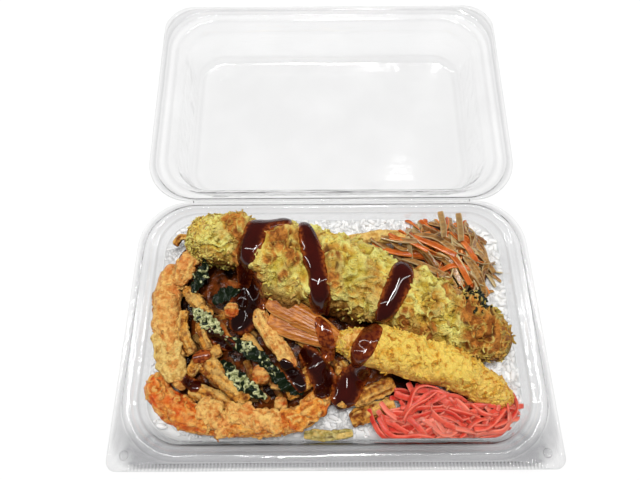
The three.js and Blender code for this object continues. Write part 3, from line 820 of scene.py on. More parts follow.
def pressed_sheet(line, rim, haze, grip, bends=2, spacing=0.8):
    """The closed sheet about a line: the upper side from the middle out, then the lower side back in. The
    tint's Red is painted grey shade, as much as haze says, on walls and bends and where the inset is less
    than rim; with grip, the front gets more painted grey shade, in fine lines along it, and Green marks the
    ribs' band. Blue marks the cut edge."""
    upper = rounded(line, spacing, bends)
    lower = offset_line(upper, -WALL)
    along = unit(np.gradient(upper[:, [0, 2]], axis=0))
    bent = np.linalg.norm(np.gradient(along, axis=0), axis=1)
    steep = np.abs(along[:, 1])
    # Painted grey shade: more on steep walls, at bends and where the inset is less than rim.
    grey = 0.02 + haze * (0.1 * steep + 0.5 * np.maximum(bent - 0.05, 0) + 0.15 * (upper[:, 0] < rim))
    edge = upper[:, 0] < 0.9
    points = rounded_oblongs(np.vstack([upper[::-1], lower]))
    x, y, height = points[..., 0], points[..., 1], points[..., 2] - line[0, 2]
    band = grip * (np.abs(x) < RIBS_HALF) * (y < RIBS_BACK) * (np.abs(height) < 0.8)
    # Painted grey shade in fine lines along the front, fading toward the back and to less at the side ends.
    lines = step_up(np.sin(2.4 * height + 2.2 * y), 0.3, 0.9)
    near = grip * (0.5 + 0.6 * lines) * step_up(y, -42, -56)
    near = near * (0.35 + 0.65 * step_up(np.abs(x), 96, 84))
    grey, edge = (np.concatenate([side[::-1], side])[:, None] for side in (grey, edge))
    return points, np.stack([grey + near, band + 0 * height, edge + 0 * height], axis=-1)


def tray():
    """The tray: its pressed sheet, with the most painted grey shade along the front wall, where its flange
    has a band of fine ribs.
    """
    line = TRAY_LINE.copy()
    line[:, 2] += RIM_HEIGHT
    sheet = skin(*pressed_sheet(line, rim=12, haze=1.5, grip=1))
    buttons = [skin(button(x)) for x in (-BUTTON_X, BUTTON_X)]
    piece("clear_tray", [sheet, *buttons], plastic, ["tray"])


def button(x):
    """A low round button on the tray's flange: it rises by height * cos²(90° out) from its edge, over a
    flat underside that is sunk into the sheet."""
    out = np.concatenate([np.linspace(0.05, 1, 9), [0.9]])[:, None]
    rise = np.concatenate([BUTTON_HEIGHT * np.cos(np.pi / 2 * out[:-1]) ** 2, [[-0.1]]])
    turn = np.linspace(0, 2 * np.pi, 24, endpoint=False)
    return np.stack([
        x + BUTTON_RADIUS * out * np.cos(turn),
        BUTTON_Y + BUTTON_RADIUS * out * np.sin(turn),
        RIM_HEIGHT - 0.1 + rise + 0 * turn,
    ], axis=-1)


def opened(points):
    """Points of the lid about its own middle, brought to where it lies open: turned half round, shifted
    behind the hinge and tilted about it."""
    x = -points[..., 0]
    y = -points[..., 1] + PACK_DEPTH / 2 + LID_GAP
    z = points[..., 2] - PLATE_GAP
    cos, sin = np.cos(LID_TILT), np.sin(LID_TILT)
    hinge_y, hinge_z = PACK_DEPTH / 2 + HINGE_GAP, RIM_HEIGHT
    return np.stack([x, hinge_y + y * cos - z * sin, hinge_z + y * sin + z * cos], axis=-1)


def lid():
    """The lid, lying open on its back."""
    points, tint = pressed_sheet(LID_LINE, rim=3, haze=1.1, grip=0)
    piece("clear_lid", [skin(opened(points), tint)], plastic, ["lid"], "lid")


def hinge_strip():
    """The thin strip of the same sheet that joins the tray's back edge to the lid's edge: a flat band whose
    points run from the tray's flange to the lid's, with its wall below."""
    half = PACK_WIDTH / 2 - 26
    x = np.linspace(-half, half, 121)
    start, end = PACK_DEPTH / 2 - 0.4, PACK_DEPTH / 2 + 2 * HINGE_GAP + 0.3
    y = np.linspace(start, end, 13)
    top = np.interp(y, [start, end], [RIM_HEIGHT - 0.1, RIM_HEIGHT - 0.1 - PLATE_GAP * 0.6])
    around = np.stack([np.concatenate([y, y[::-1]]), np.concatenate([top, top[::-1] - 0.2])], axis=-1)
    points = np.concatenate([
        np.broadcast_to(x[:, None, None], (len(x), len(around), 1)),
        np.broadcast_to(around, (len(x), *around.shape)),
    ], axis=-1)
    strip = piece("hinge_strip", [skin(points)], plastic, body=None)
    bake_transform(strip)


# ---- Rice ----

def inner_wall(z):
    """Insets and corner radii of the tray's inner surface at heights z over the table."""
    wall = TRAY_LINE[TRAY_WALL_ROWS][::-1]
    return [np.interp(z, wall[:, 2] + RIM_HEIGHT, wall[:, k]) for k in (0, 1, 3, 4)]


def past_wall(points):
    """How far each point is past the tray's inner surface at its height, less than 0 inside, and the level
    direction outward: the distance to a rounded oblong."""
    u, u_back, front, back = inner_wall(points[..., 2])
    radius = np.where(points[..., 1] > 0, back, front)
    edge_y = np.where(points[..., 1] > 0, PACK_DEPTH / 2 - u_back, PACK_DEPTH / 2 - u)
    over = np.stack([
        np.abs(points[..., 0]) - (PACK_WIDTH / 2 - u - radius),
        np.abs(points[..., 1]) - (edge_y - radius),
    ], axis=-1)
    outside = np.maximum(over, 0)
    distance = np.linalg.norm(outside, axis=-1) + np.minimum(over.max(axis=-1), 0) - radius
    straight = np.where(over[..., :1] > over[..., 1:], [1.0, 0.0], [0.0, 1.0])
    direction = np.where(np.all(over > 0, axis=-1, keepdims=True), unit(outside), straight)
    return distance, direction * np.sign(points[..., :2])


def pressed_in(points, into=0.1):
    """Points past the tray's wall are pressed flat against it, a hair into its sheet."""
    distance, direction = past_wall(points)
    back = np.maximum(distance - into, 0)
    pressed = points.copy()
    pressed[..., :2] -= direction * back[..., None]
    return pressed


def grains(centres, leans, turns, seed, rings=6, around=8):
    """Rice grains (pieces, rings, around, 3): ovals whose half width is that of an ellipse, fuller at one end
    and bent by a parabola, each leant up or down and turned in plan."""
    count = len(centres)
    rng = np.random.default_rng(seed)
    size = rng.uniform(0.85, 1.12, (count, 1, 1))
    t = eased_rows(rings)[:, None]
    turn = full_turn(around)
    along = (t - 0.5) * GRAIN_LENGTH * size + 0 * turn
    out = np.sqrt(1 - (2 * t - 1) ** 2) * (1 + 0.18 * (t - 0.5)) * GRAIN_WIDTH / 2
    across = out * np.cos(turn) * size + rng.uniform(-0.25, 0.25, (count, 1, 1)) * (2 * t - 1) ** 2
    rise = out * np.sin(turn) * 0.86 * size
    lean, face = leans[:, None, None], turns[:, None, None]
    level = along * np.cos(lean) - rise * np.sin(lean)
    up = along * np.sin(lean) + rise * np.cos(lean)
    x = level * np.cos(face) - across * np.sin(face)
    y = level * np.sin(face) + across * np.cos(face)
    return np.stack([x, y, up], axis=-1) + centres[:, None, None, :]


# Heights over the table at which the rice's side is told
RICE_LEVELS = np.array([1.0, 1.6, 3, 6, 9, 12, 15, 18, 21, 23.5, 25.4])


def grains_at_wall(line, rng):
    """Whole grains strewn over the rice's side, just inside the clear wall, most of them lying along it."""
    rings = rounded_oblongs(line, long_steps=160, short_steps=100)
    level = rng.uniform(0.8, 24.6, GRAINS_AT_WALL)
    place = rng.integers(0, rings.shape[1], GRAINS_AT_WALL)
    low = np.interp(level, RICE_LEVELS, np.arange(len(RICE_LEVELS)))
    k = np.minimum(low.astype(int), len(RICE_LEVELS) - 2)
    centres = rings[k, place] + (low - k)[:, None] * (rings[k + 1, place] - rings[k, place])
    distance, direction = past_wall(centres)
    centres[:, :2] -= direction * (distance + rng.uniform(0.7, 1.3, GRAINS_AT_WALL))[:, None]
    facing = np.arctan2(direction[:, 1], direction[:, 0]) + np.pi / 2 + rng.normal(0, 0.25, GRAINS_AT_WALL)
    points = pressed_in(grains(centres, rng.uniform(-1.4, 1.4, GRAINS_AT_WALL), facing, seed=12))
    points[..., 2] = np.maximum(points[..., 2], 0.6)
    piece("rice_grains_at_wall", [skin(points)], white_rice)


def grains_on_top(line, rng):
    """Whole grains strewn over the top, closest together along the wall."""
    rings = rounded_oblongs(line, long_steps=160, short_steps=100)
    spread = rng.uniform(0, 1, GRAINS_ON_TOP) ** 0.75
    centres = rings[-1][rng.integers(0, rings.shape[1], GRAINS_ON_TOP)]
    _, direction = past_wall(centres)
    centres[:, :2] -= direction * (0.8 + spread * GRAINS_TOP_REACH)[:, None]
    centres[:, 2] = GRAINS_TOP_HEIGHT + rng.uniform(0, 0.8, GRAINS_ON_TOP) + 0.8 * swell(centres, 9, 5)
    leans = rng.normal(0, 0.18, GRAINS_ON_TOP)
    turns = rng.uniform(0, np.pi, GRAINS_ON_TOP)
    points = pressed_in(grains(centres, leans, turns, seed=13, rings=5, around=6))
    piece("rice_grains_on_top", [skin(points)], white_rice)
    heap.lay(points)


def rice():
    """The bed of rice: a bumpy core that fills the tray, with whole grains over its top and down its sides,
    pressed flat where they meet the clear wall."""
    insets = inner_wall(RICE_LEVELS)
    line = np.stack([insets[0], insets[1], RICE_LEVELS, insets[2], insets[3]], axis=1)
    top = line[-1] + np.array([[4, 4, 0.8, -2, -2], [10, 10, 1.1, -6, -6], [30, 30, 1.1, -9, -9]])
    top[:, 3:] = np.maximum(top[:, 3:], 2)
    core = rounded_oblongs(np.vstack([line, top]))
    wall = slice(1, len(line))
    core[wall] += 0.5 * knobs(core[wall], 3.4, 3)[..., None] * normals(core)[wall]
    piece("rice_core", [skin(pressed_in(core, 0.15))], white_rice, ["rice_bed"])
    rng = np.random.default_rng(11)
    grains_at_wall(line, rng)
    grains_on_top(line, rng)


# ---- The big fried pieces ----

def at_most(value, limit, k):
    """The value, eased off below the limit within about k of it:
    limit - k * log(1 + exp((limit - value) / k))."""
    return limit - k * np.logaddexp(0, (limit - value) / k)


def under_lid(points):
    """Points brought down and forward to where the shut lid's cavity would just clear them."""
    line = LID_LINE[LID_CAVITY_ROWS]
    height = RIM_HEIGHT + PLATE_GAP - line[:, 2]
    back = np.interp(points[..., 2], height, PACK_DEPTH / 2 - line[:, 1]) - 0.6
    back = back - 0.9 * (1 + swell(points, 4, 8))
    eased = at_most(points[..., 1], back, 1.2)
    points[..., 1] = np.where(points[..., 2] > RIM_HEIGHT, eased, points[..., 1])
    points[..., 2] = at_most(points[..., 2], FOOD_CEILING, 1.8)
    return points


def curls(points, likely, count, length, thick, seed, pale=0.8, lift=0.9, rings=9, around=6):
    """Frizz of batter: short threads curled on a form. Each is an arc of a circle, turned through 1.5
    to 4.5 radians, in a plane that leans by up to lift from the form's surface, a little sunk in it; its
    section is a circle that closes at the ends and swells by smooth noise."""
    rng = np.random.default_rng(seed)
    likely = likely * (points[..., 2] > FOOD_FLOOR + 2)
    chance = (likely / likely.sum()).ravel()
    chosen = rng.choice(chance.size, count, p=chance)
    root = points.reshape(-1, 3)[chosen]
    off = normals(points).reshape(-1, 3)[chosen]
    along = unit(np.cross(off, rng.normal(size=(count, 3))))
    lean = rng.uniform(-0.2, lift, (count, 1))
    beside = np.cross(off, along) * np.cos(lean) + off * np.sin(lean)
    face = np.cross(along, beside)
    s = (eased_rows(rings) - 0.5)[None, :, None]
    turn = full_turn(around)
    sweep = rng.uniform(1.5, 4.5, (count, 1, 1))
    radius = length * rng.uniform(0.6, 1.4, (count, 1, 1)) / sweep
    middle = root[:, None] + along[:, None] * radius * np.sin(sweep * s)
    middle = middle + beside[:, None] * radius * (1 - np.cos(sweep * s)) - 0.15 * thick * off[:, None]
    out = thick / 2 * rng.uniform(0.6, 1.4, (count, 1, 1)) * np.sqrt(1 - (2 * np.abs(s)) ** 3)
    outward = along[:, None] * np.sin(sweep * s) - beside[:, None] * np.cos(sweep * s)
    points = middle[:, :, None] + (out * np.cos(turn))[..., None] * outward[:, :, None]
    points = points + (out * np.sin(turn))[..., None] * face[:, None, None]
    points = points + 0.3 * thick * swell(points, 1.2 * thick, seed)[..., None] * off[:, None, None]
    shade = rng.uniform(0, 1, (count, 1, 1))
    tint = np.stack([0.6 * (shade > 0.85), pale * shade, 0.5 * (shade < 0.2)], axis=-1)
    return points, np.broadcast_to(tint, points.shape)


# The fish cake's middle line, and its half widths at even steps along it
CAKE_PATH = [
    [-70.5, 42, 45], [-38, 32.5, 45], [-8, 22, 44.5],
    [31, 9.5, 41], [56, -1.5, 38.5], [81, -14.5, 35.5],
]
CAKE_WIDTHS = [
    16.5, 17, 16.5, 13.5, 12, 15, 18, 19, 18.5, 18, 17,
    15.5, 15, 15.5, 15, 14, 14.5, 16, 16, 15, 14,
]

# The humps and dips in its height: place along it, breadth, and how much they add
CAKE_HUMPS = [
    [0.1, 0.06, 0.2], [0.19, 0.032, -0.18], [0.28, 0.05, 0.07], [0.37, 0.035, -0.11], [0.47, 0.05, 0.08],
    [0.58, 0.03, -0.12], [0.69, 0.05, 0.06], [0.79, 0.03, -0.1], [0.9, 0.06, 0.08],
]

# Where its brown skin shows through the batter: middle in plan, then radius
BROWN_PATCHES = [
    [-48, 45, 5], [-45, 40, 6], [-41, 33, 5.5], [-44, 27, 3.5], [-24, 37, 7], [-21, 31, 7], [-29, 30, 4],
    [0, 20, 4], [1, 13, 4], [-2, 28, 3], [40, 22, 3], [54, 8, 6], [61, 2, 8], [68, -4, 8], [75, -8, 8],
    [63, -12, 6], [72, -16, 5], [-30, 24, 3.5], [-19, 24, 4.5], [-22, 17, 3], [33, -2, 4], [42, -8, 3.5],
]

# The middle of the cluster of laver flakes on it, in plan
LAVER_CLUSTER = (67, 9)


def cake_width(t):
    """The cake's half width at t: straight between its steps, then eased by a bell as long as 6% of it."""
    fine = np.linspace(0, 1, 401)
    straight = np.interp(fine, np.linspace(0, 1, len(CAKE_WIDTHS)), CAKE_WIDTHS)
    bell = np.hanning(27)[1:-1]
    return np.interp(t, fine, np.convolve(np.pad(straight, 12, "edge"), bell / bell.sum(), "valid"))


def cake_height(t):
    """The cake's half height at t: lower toward its right end, with each hump a bell exp(-((t - place) /
    breadth)²)."""
    humps = 1 + sum(size * np.exp(-((t - middle) / breadth) ** 2) for middle, breadth, size in CAKE_HUMPS)
    return (15.2 - 3.5 * t) * humps


def browned(points):
    """How far inside any of the brown patches each point is, seen from above: 1 inside, 0 outside, with an
    edge made ragged by smooth noise."""
    ragged = warped(points, 6, 2.5, 21) + 0.8 * swell(points, 1.6, 26)[..., None]
    inside = [
        step_up(np.hypot(ragged[..., 0] - x, ragged[..., 1] - y), 1.2 * radius, 0.7 * radius)
        for x, y, radius in BROWN_PATCHES
    ]
    return np.max(inside, axis=0)


def off_sauce(points):
    """0 under the main strands of sauce and 1 clear of them, by the distance in plan from 40 places along
    each strand's middle line."""
    clear = np.ones(points.shape[:-1])
    t = np.linspace(0, 1, 40)
    for path, widths, _, _ in SAUCE_BANDS[:MAIN_SAUCE_BANDS]:
        line, _ = smooth_path(in_plan(path), t)
        half = np.interp(t, np.linspace(0, 1, len(widths)), widths) / 2
        for (x, y, _), reach in zip(line, half):
            away = np.hypot(points[..., 0] - x, points[..., 1] - y)
            clear = np.minimum(clear, step_up(away, reach, reach + 1.5))
    return clear


def fish_cake():
    """The fish cake tempura: a long form with humps and dips along it. Over broad waves, its batter stands in
    lumps of 6.5 mm and curds of 2.8 mm with winding ridges between; over the brown patches it lies
    thinner, in blisters and loops. All of this moves the points outward, mostly straight from each ring's
    middle."""
    points, t, turn = form(CAKE_PATH, cake_width, cake_height, rings=440, around=224, seed=2, lump=0.1)
    brown = browned(points)
    crumbly = 1 - 0.4 * brown
    lumps = knobs(warped(points, 6, 4, 31), 6.5, 41)
    curds = knobs(warped(points, 2.8, 2, 35), 2.8, 51)
    frills = ridges(warped(points, 4, 3, 37), 4, 53) * step_up(swell(points, 5, 54), -0.5, 0.2)
    blisters = knobs(warped(points, 4, 1.4, 39), 4.2, 55)
    loops = ridges(warped(points, 4, 2, 39), 3.6, 56)
    relief = 2.8 * swell(points, 11, 61) + 3.3 * lumps - 0.4 + crumbly * (1.4 * curds + 1.6 * frills - 2.6)
    fine = 0.15 * swell(points, 0.8, 71)
    relief += brown * (1.2 * blisters + 2 * loops - 2) + fine + 0.4 * swell(points, 3, 81)
    straight_out = unit(points - points.mean(axis=1, keepdims=True))
    out = unit(normals(points) + 2.5 * straight_out)
    points = points + out * (relief * off_ends(t, 6))[..., None]
    points[..., 2] = np.maximum(points[..., 2], FOOD_FLOOR)
    points = under_lid(points)

    # The tint: Green paints the crumb tops and the crests of the loops paler as highlight, more so higher up
    # and not on the lower front side; Red browns the brown patches, random browner patches and that lower
    # front side, where it is painted shade; Blue paints shade into the hollows, the low places and that side.
    high = 0.45 * lumps + 0.35 * curds + 0.4 * frills
    level = points[..., 2] + 2 * swell(points, 5, 58) + 5 * t
    crest = step_up(loops, 0.6, 0.95)
    pale = (1 - 0.6 * brown) * step_up(high, 0.5, 0.9) * (0.3 + 0.7 * step_up(level, 38, 50))
    pale += 0.55 * brown * crest
    # The lower front side, painted browner and darker as shade.
    flank = 0.8 * step_up(np.cos(turn) - np.sin(turn) + 0.3 * swell(points, 5, 62), -0.3, 1)
    low = np.maximum(step_up(level, 53, 40) * 0.95, flank)
    hollow = np.maximum(step_up(high, 0.55, 0.15), brown * step_up(blisters, 0.5, 0.1))
    spared = 0.45 * step_up(swell(points, 5, 57), 0, 0.6)
    warm = np.maximum(0.5 * step_up(swell(points, 9, 59), 0, 0.6), flank)
    skinned = brown * (0.95 - spared) * (1 - 0.6 * crest)
    tint = np.stack([np.maximum(skinned, warm), pale * (1 - flank), np.maximum(hollow, low)], axis=-1)
    batter = laver_batter()
    piece("fish_cake_crust", [skin(points, tint)], batter, ["fish_cake_tempura"])
    heap.lay(points)
    cake_crumbs(points, t, crumbly, batter)


def cake_crumbs(points, t, crumbly, batter):
    """Frizz over the cake's upper side, browner over its brown patches, and a cluster of laver flakes."""
    upper = (t > 0.01) * (t < 0.99) * step_up(points[..., 2], 34, 44) * off_sauce(points)
    threads, shade = curls(
        points, (crumbly - 0.1) * upper, count=640, length=5, thick=1.1, seed=91, pale=0.9,
    )
    fried = browned(threads)[..., None]
    shade = shade * (1 - np.array([1, 0.3, 0.5]) * fried) + np.array([0.6, 0, 0]) * fried
    piece("fish_cake_frizz", [skin(under_lid(threads), shade)], batter)
    x, y = LAVER_CLUSTER
    cluster = np.exp(-((points[..., 0] - x) ** 2 + (points[..., 1] - y) ** 2) / 30)
    flakes, _ = curls(points, cluster * upper, count=90, length=2.6, thick=1.3, seed=96)
    piece("laver_flakes", [skin(under_lid(flakes))], leaf_green)


def prawn():
    """The prawn: a long tapering form. Its yellow batter stands in lumps of 6 mm over broad waves, beaded
    with knobs of 2.9 and 1.4 mm and drawn into winding ridges along the back, under a light frizz."""
    points, t, turn = form(
        [[0, -11, 44], [22.5, -15.7, 44], [49, -22.4, 41], [79, -37.5, 35]],
        lambda t: 6 + 3.2 * step_up(t, 0, 0.3) - 1.5 * t * t,
        lambda t: 5.8 + 2.7 * step_up(t, 0, 0.3) - t * t,
        rings=300, around=150, seed=5, lump=0.08,
    )
    moved = warped(points, 3, 2, 32)
    big, small = knobs(moved, 2.9, 42), knobs(moved, 1.4, 52)
    back = np.maximum(step_up(np.sin(turn) - 0.5 * np.cos(turn), -0.4, 0.9), step_up(t, 0.3, 0.15))
    lumps = knobs(warped(points, 5, 3, 63), 6, 65)
    relief = 0.8 * swell(points, 7, 62) + 1.3 * lumps + (0.3 + 0.7 * back) * (1.1 * big + 0.6 * small - 1.4)
    relief += back * (0.9 * ridges(warped(points, 3, 2, 64), 4, 66) + 0.35 * swell(points, 1.1, 67))
    points = points + normals(points) * (relief * off_ends(t, 8))[..., None]
    points[..., 2] = np.maximum(points[..., 2], FOOD_FLOOR)
    neck = step_up(t + 0.05 * swell(points, 4, 82), 0.3, 0.14)
    # Blue marks painted shade in hollows and on the lower parts; Green paints the higher crumbs paler as
    # highlight, most on the back.
    hollow = step_up(big + 0.5 * small, 0.6, 0.1) * (0.3 + 0.7 * back) * (1 - 0.5 * neck)
    high = 0.4 * big + 0.4 * small + 0.4 * lumps + 0.4 * swell(points, 6, 84)
    pale = step_up(high, 0.35, 0.9) * (0.4 + 0.6 * back)
    tan = np.maximum(neck, 0.5 * np.maximum(1 - back, step_up(t, 0.65, 0.95)))
    tint = np.stack([tan, pale, np.maximum(hollow, 0.8 * step_up(points[..., 2], 38, 30))], axis=-1)
    batter = yellow_batter()
    piece("prawn_crust", [skin(points, tint)], batter, ["prawn_tempura"])
    heap.lay(points)
    likely = (0.15 + back) * (t > 0.03) * (t < 0.98) * step_up(points[..., 2], 34, 40) * off_sauce(points)
    threads, shade = curls(points, likely, count=260, length=3.6, thick=1.1, seed=98, pale=1)
    piece("prawn_frizz", [skin(under_lid(threads), shade * [0, 1, 1])], batter)


def growing(size, gain):
    """A half width or half height that is size at a form's start and changes evenly by gain to its end."""
    return lambda t: size + gain * t


def petal(path, width, height, seed, edge_angle):
    """One blade of the tail fan: a flat form with ridges that run along it, as |sin| of the place across."""
    points, t, turn = form(
        path, growing(*width), growing(*height), rings=90, around=64, blunt=5, lump=0.03, seed=seed,
    )
    across = np.cos(turn)
    ridge = np.abs(np.sin(edge_angle * across)) * np.sin(turn)
    points = points + normals(points) * (0.35 * ridge * np.minimum(1, 5 * (1 - t)))[..., None]
    edge = step_up(np.abs(across), 0.86, 0.98) * step_up(t, 0.1, 0.3)
    tint = np.stack([step_up(ridge, 0.3, 0.05) * 0.8, edge, 0 * t], axis=-1)
    return points, tint


# The tail fan's blades: path, half width at the prawn's end and its gain to the tip, half height in the same
# way, seed, and the sine's angle at the edge in radians, which sets how many ridges there are
TAIL_BLADES = [
    [[[2, -11, 45], [-10, -3.5, 46.5], [-30, 7.5, 47]], (3.6, 2.6), (2.4, -0.9), 3, 9],
    [[[2, -12, 43.5], [-10, -9, 44.2], [-30, -1, 44.4]], (3.4, 2.4), (2.6, -1.1), 5, 9],
    [[[3, -12, 44.5], [-6, -8, 46.2], [-20, -2.5, 46.4]], (2.6, 0), (1.5, 0), 7, 5],
]


def prawn_tail():
    """The tail fan: an upper and a lower blade that spread from the prawn's end, with a small one between."""
    blades = [petal(*blade) for blade in TAIL_BLADES]
    piece("tail_fan", [skin(*blade) for blade in blades], tail_shell(), ["prawn_tail"])
    for points, _ in blades:
        heap.lay(points)


# ---- The fritter ----

def battered(path, half_width, half_height, rings, around, seed, rise, knob=3.2, blunt=3.5, lump=0.1,
             rich=None, soaked=0.35, fibre=0.6):
    """A piece of vegetable in fried batter: a form moved outward by knobs, folds, fibres drawn out along it
    and fine crumbs. The tint holds its rich places, ridge tops painted pale as highlight, and painted shade
    in the hollows, which takes up the underside too, where sin(turn) is under soaked."""
    points, t, turn = form(path, half_width, half_height, rings, around, seed, lump, blunt)
    length = np.linalg.norm(np.diff(np.asarray(path, float), axis=0), axis=1).sum()
    drawn = np.stack([t * length / 5, half_width(t) * np.cos(turn), half_height(t) * np.sin(turn)], axis=-1)
    fibres = swell(warped(drawn, 3, 0.5, seed), 1.1, seed + 20)
    bumps = knobs(warped(points, 3, 0.9, seed + 30), knob, seed + 40)
    fold = swell(points, 4.5, seed + 60)
    crumbs = knobs(points, 1.5, seed + 70)
    relief = rise * (bumps - 0.45) + 0.3 * fold + fibre * fibres + 0.45 * crumbs - 0.25
    points = points + normals(points) * (relief * off_ends(t, 6))[..., None]
    points[..., 2] = np.maximum(points[..., 2], FOOD_FLOOR - 1)
    amount = 0 * t if rich is None else rich(points, t)
    high = 0.25 * bumps + 1.3 * fibre * fibres + 0.3 * crumbs
    # Green: ridge tops painted pale as highlight. Blue: painted shade in the hollows and on the underside.
    top = step_up(high, 0.25, 0.85)
    below = step_up(np.sin(turn) + 0.3 * swell(points, 3, seed + 80), soaked, soaked - 0.8) * 0.9
    hollow = np.maximum(step_up(high, 0.2, -0.5) * 0.85, below)
    return points, np.stack([amount, top, hollow], axis=-1)


def laid(name, parts, material, nodes=()):
    """A piece from several parts, each points and tint, that is also laid on the heap."""
    piece(name, [skin(points, tint) for points, tint in parts], material, nodes)
    for points, _ in parts:
        heap.lay(points)


def crumbled(part, count, seed):
    """Frizz on a battered piece, on its upper side and along its edges."""
    points, _ = part
    likely = step_up(np.sin(full_turn(points.shape[1])), -0.5, 0.3) * step_up(points[..., 2], 30, 36)
    threads, shade = curls(points, likely, count, length=3.8, thick=1.3, seed=seed, pale=1, lift=0.2)
    return under_lid(threads), shade


def in_places(amount, size, seed):
    """How rich a battered piece is: the amount in smooth patches of that size."""
    return lambda points, t: amount * step_up(swell(points, size, seed), -0.2, 0.5)


# Broad flakes of batter that lie across the front arc: path, half width, half height, rise of the knobs, seed
ARC_FLAKES = [
    [[[-60, -37, 39], [-52, -43, 40.5], [-46, -50.5, 37.5]], 4.6, 1.5, 1.1, 61],
    [[[-48, -40, 39.5], [-34, -44, 41], [-20, -46, 40]], 4.4, 1.5, 1.1, 62],
    [[[-26, -47, 39.5], [-14, -43, 42], [-3, -36, 41.5]], 4.4, 2, 1, 64],
]


def front_arc():
    """The carrot-coloured piece that curves along the front: orange-red on top at its left, paler to the
    right, where broad flakes of batter lie across it."""
    main = battered(
        [[-82, -25, 35], [-76.5, -36, 35], [-62, -43.5, 35], [-40, -47, 35], [-18, -45, 36], [-3, -32, 38]],
        lambda t: 5.1 + 1.1 * np.sin(7 * t) + 0.4 * np.sin(23 * t),
        lambda t: 5.6 + 0.7 * np.sin(9 * t + 1),
        rings=320, around=100, seed=6, knob=3.4, rise=1.1, blunt=4, lump=0.14, fibre=0.3,
        rich=lambda p, t: step_up(t + 0.1 * swell(p, 7, 91), 0.55, 0.3) * step_up(swell(p, 4, 92), -0.8, 0.1),
    )
    flakes = [
        battered(
            path, even(width), even(height), rings=140, around=70, seed=seed, rise=rise, lump=0.3, fibre=0.5,
            rich=in_places(0.5, 4, 94),
        )
        for path, width, height, rise, seed in ARC_FLAKES
    ]
    laid("front_arc_crust", [main, flakes[2]], carrot_batter, ["fritter_front_arc"])
    laid("front_arc_flakes", flakes[:2], onion_batter)
    frizz = [skin(*crumbled(main, count=70, seed=101))]
    piece("front_arc_frizz", frizz, carrot_batter)
    scraps = [skin(*crumbled(flake, count=14, seed=102 + i)) for i, flake in enumerate(flakes)]
    piece("front_arc_crumbs", scraps, onion_batter)


def side_column():
    """The onion-coloured piece that stands along the left wall, with a slab of batter against its back end
    and a smoother pale flake over its front end."""
    part = battered(
        [[-78.5, 28, 35], [-80.5, 12, 35.5], [-77.5, -6, 36], [-73, -20, 35], [-69, -31, 34]],
        lambda t: 5.3 + 1.1 * np.sin(5 * t),
        even(7),
        rings=260, around=100, seed=7, knob=3.4, rise=1, blunt=4, lump=0.13, fibre=0.15,
        rich=lambda p, t: 0.6 * step_up(t, 0.6, 0.2) * step_up(swell(p, 5, 93), -0.3, 0.4),
    )
    flake = battered(
        [[-78.5, 0, 38.5], [-76.5, -13, 40.5], [-70.5, -28, 39.5]], even(6.3), even(1.9),
        rings=150, around=70, seed=65, rise=0.4, lump=0.16, fibre=0.2,
    )
    slab = battered(
        [[-64.5, 38, 40], [-70, 28, 42], [-74.5, 16, 40.5]], even(4.6), even(2),
        rings=130, around=60, seed=67, rise=0.6, lump=0.2, fibre=0.4, rich=in_places(0.5, 4, 95),
    )
    laid("side_column_crust", [part], onion_batter, ["fritter_side_column"])
    laid("side_column_slab", [slab], onion_batter)
    laid("side_column_flake", [flake], pale_batter)
    frizz = [skin(*crumbled(part, count=45, seed=105)), skin(*crumbled(flake, count=8, seed=106))]
    piece("side_column_frizz", frizz, onion_batter)


# The fritter's outline and middle in plan
FRITTER_OUTLINE = [
    [-78, 38], [-58, 46], [-20, 30], [4, 12], [24, -4], [31, -16], [27, -33], [6, -37],
    [-18, -40], [-45, -42], [-72, -32], [-80, 2],
]
FRITTER_MIDDLE = (-28, -4)


def mound(outline, middle, height, rough, seed=1, rings=70, around=180):
    """A heap's core: a dome of cos(90° out)^0.7 over a smooth closed outline, with knobs and waves."""
    edge = round_outline(outline, np.arange(around) / around)
    out = np.linspace(0.02, 1, rings - 1)[:, None, None]
    centre = np.array([*middle, 0.0])
    plan = centre + (edge - centre) * out
    rise = height * np.cos(np.pi / 2 * out[..., 0]) ** 0.7
    dome_top = np.concatenate([plan[..., :2], (FOOD_FLOOR + rise + 0 * plan[..., 0])[..., None]], axis=-1)
    under = np.concatenate([plan[-1:, :, :2], np.full((1, around, 1), FOOD_FLOOR - 0.8)], axis=-1)
    points = np.concatenate([dome_top, under], axis=0)
    bumps = knobs(warped(points, 4, 1.5, seed), 3.5, seed + 5)
    lift = rough * (bumps - 0.5) + rough * swell(points, 6, seed + 9)
    points[:-1, :, 2] += lift[:-1] * np.minimum(1, 8 * (1 - out[..., 0]))
    # Painted shade in the hollows by Blue, and the highest bumps painted paler by Green as highlight.
    hollow = step_up(lift, 0.3 * rough, -0.8 * rough)
    return points, np.stack([0.3 + 0 * lift, 0.4 * step_up(lift, 0.5, 1.2), hollow], axis=-1)


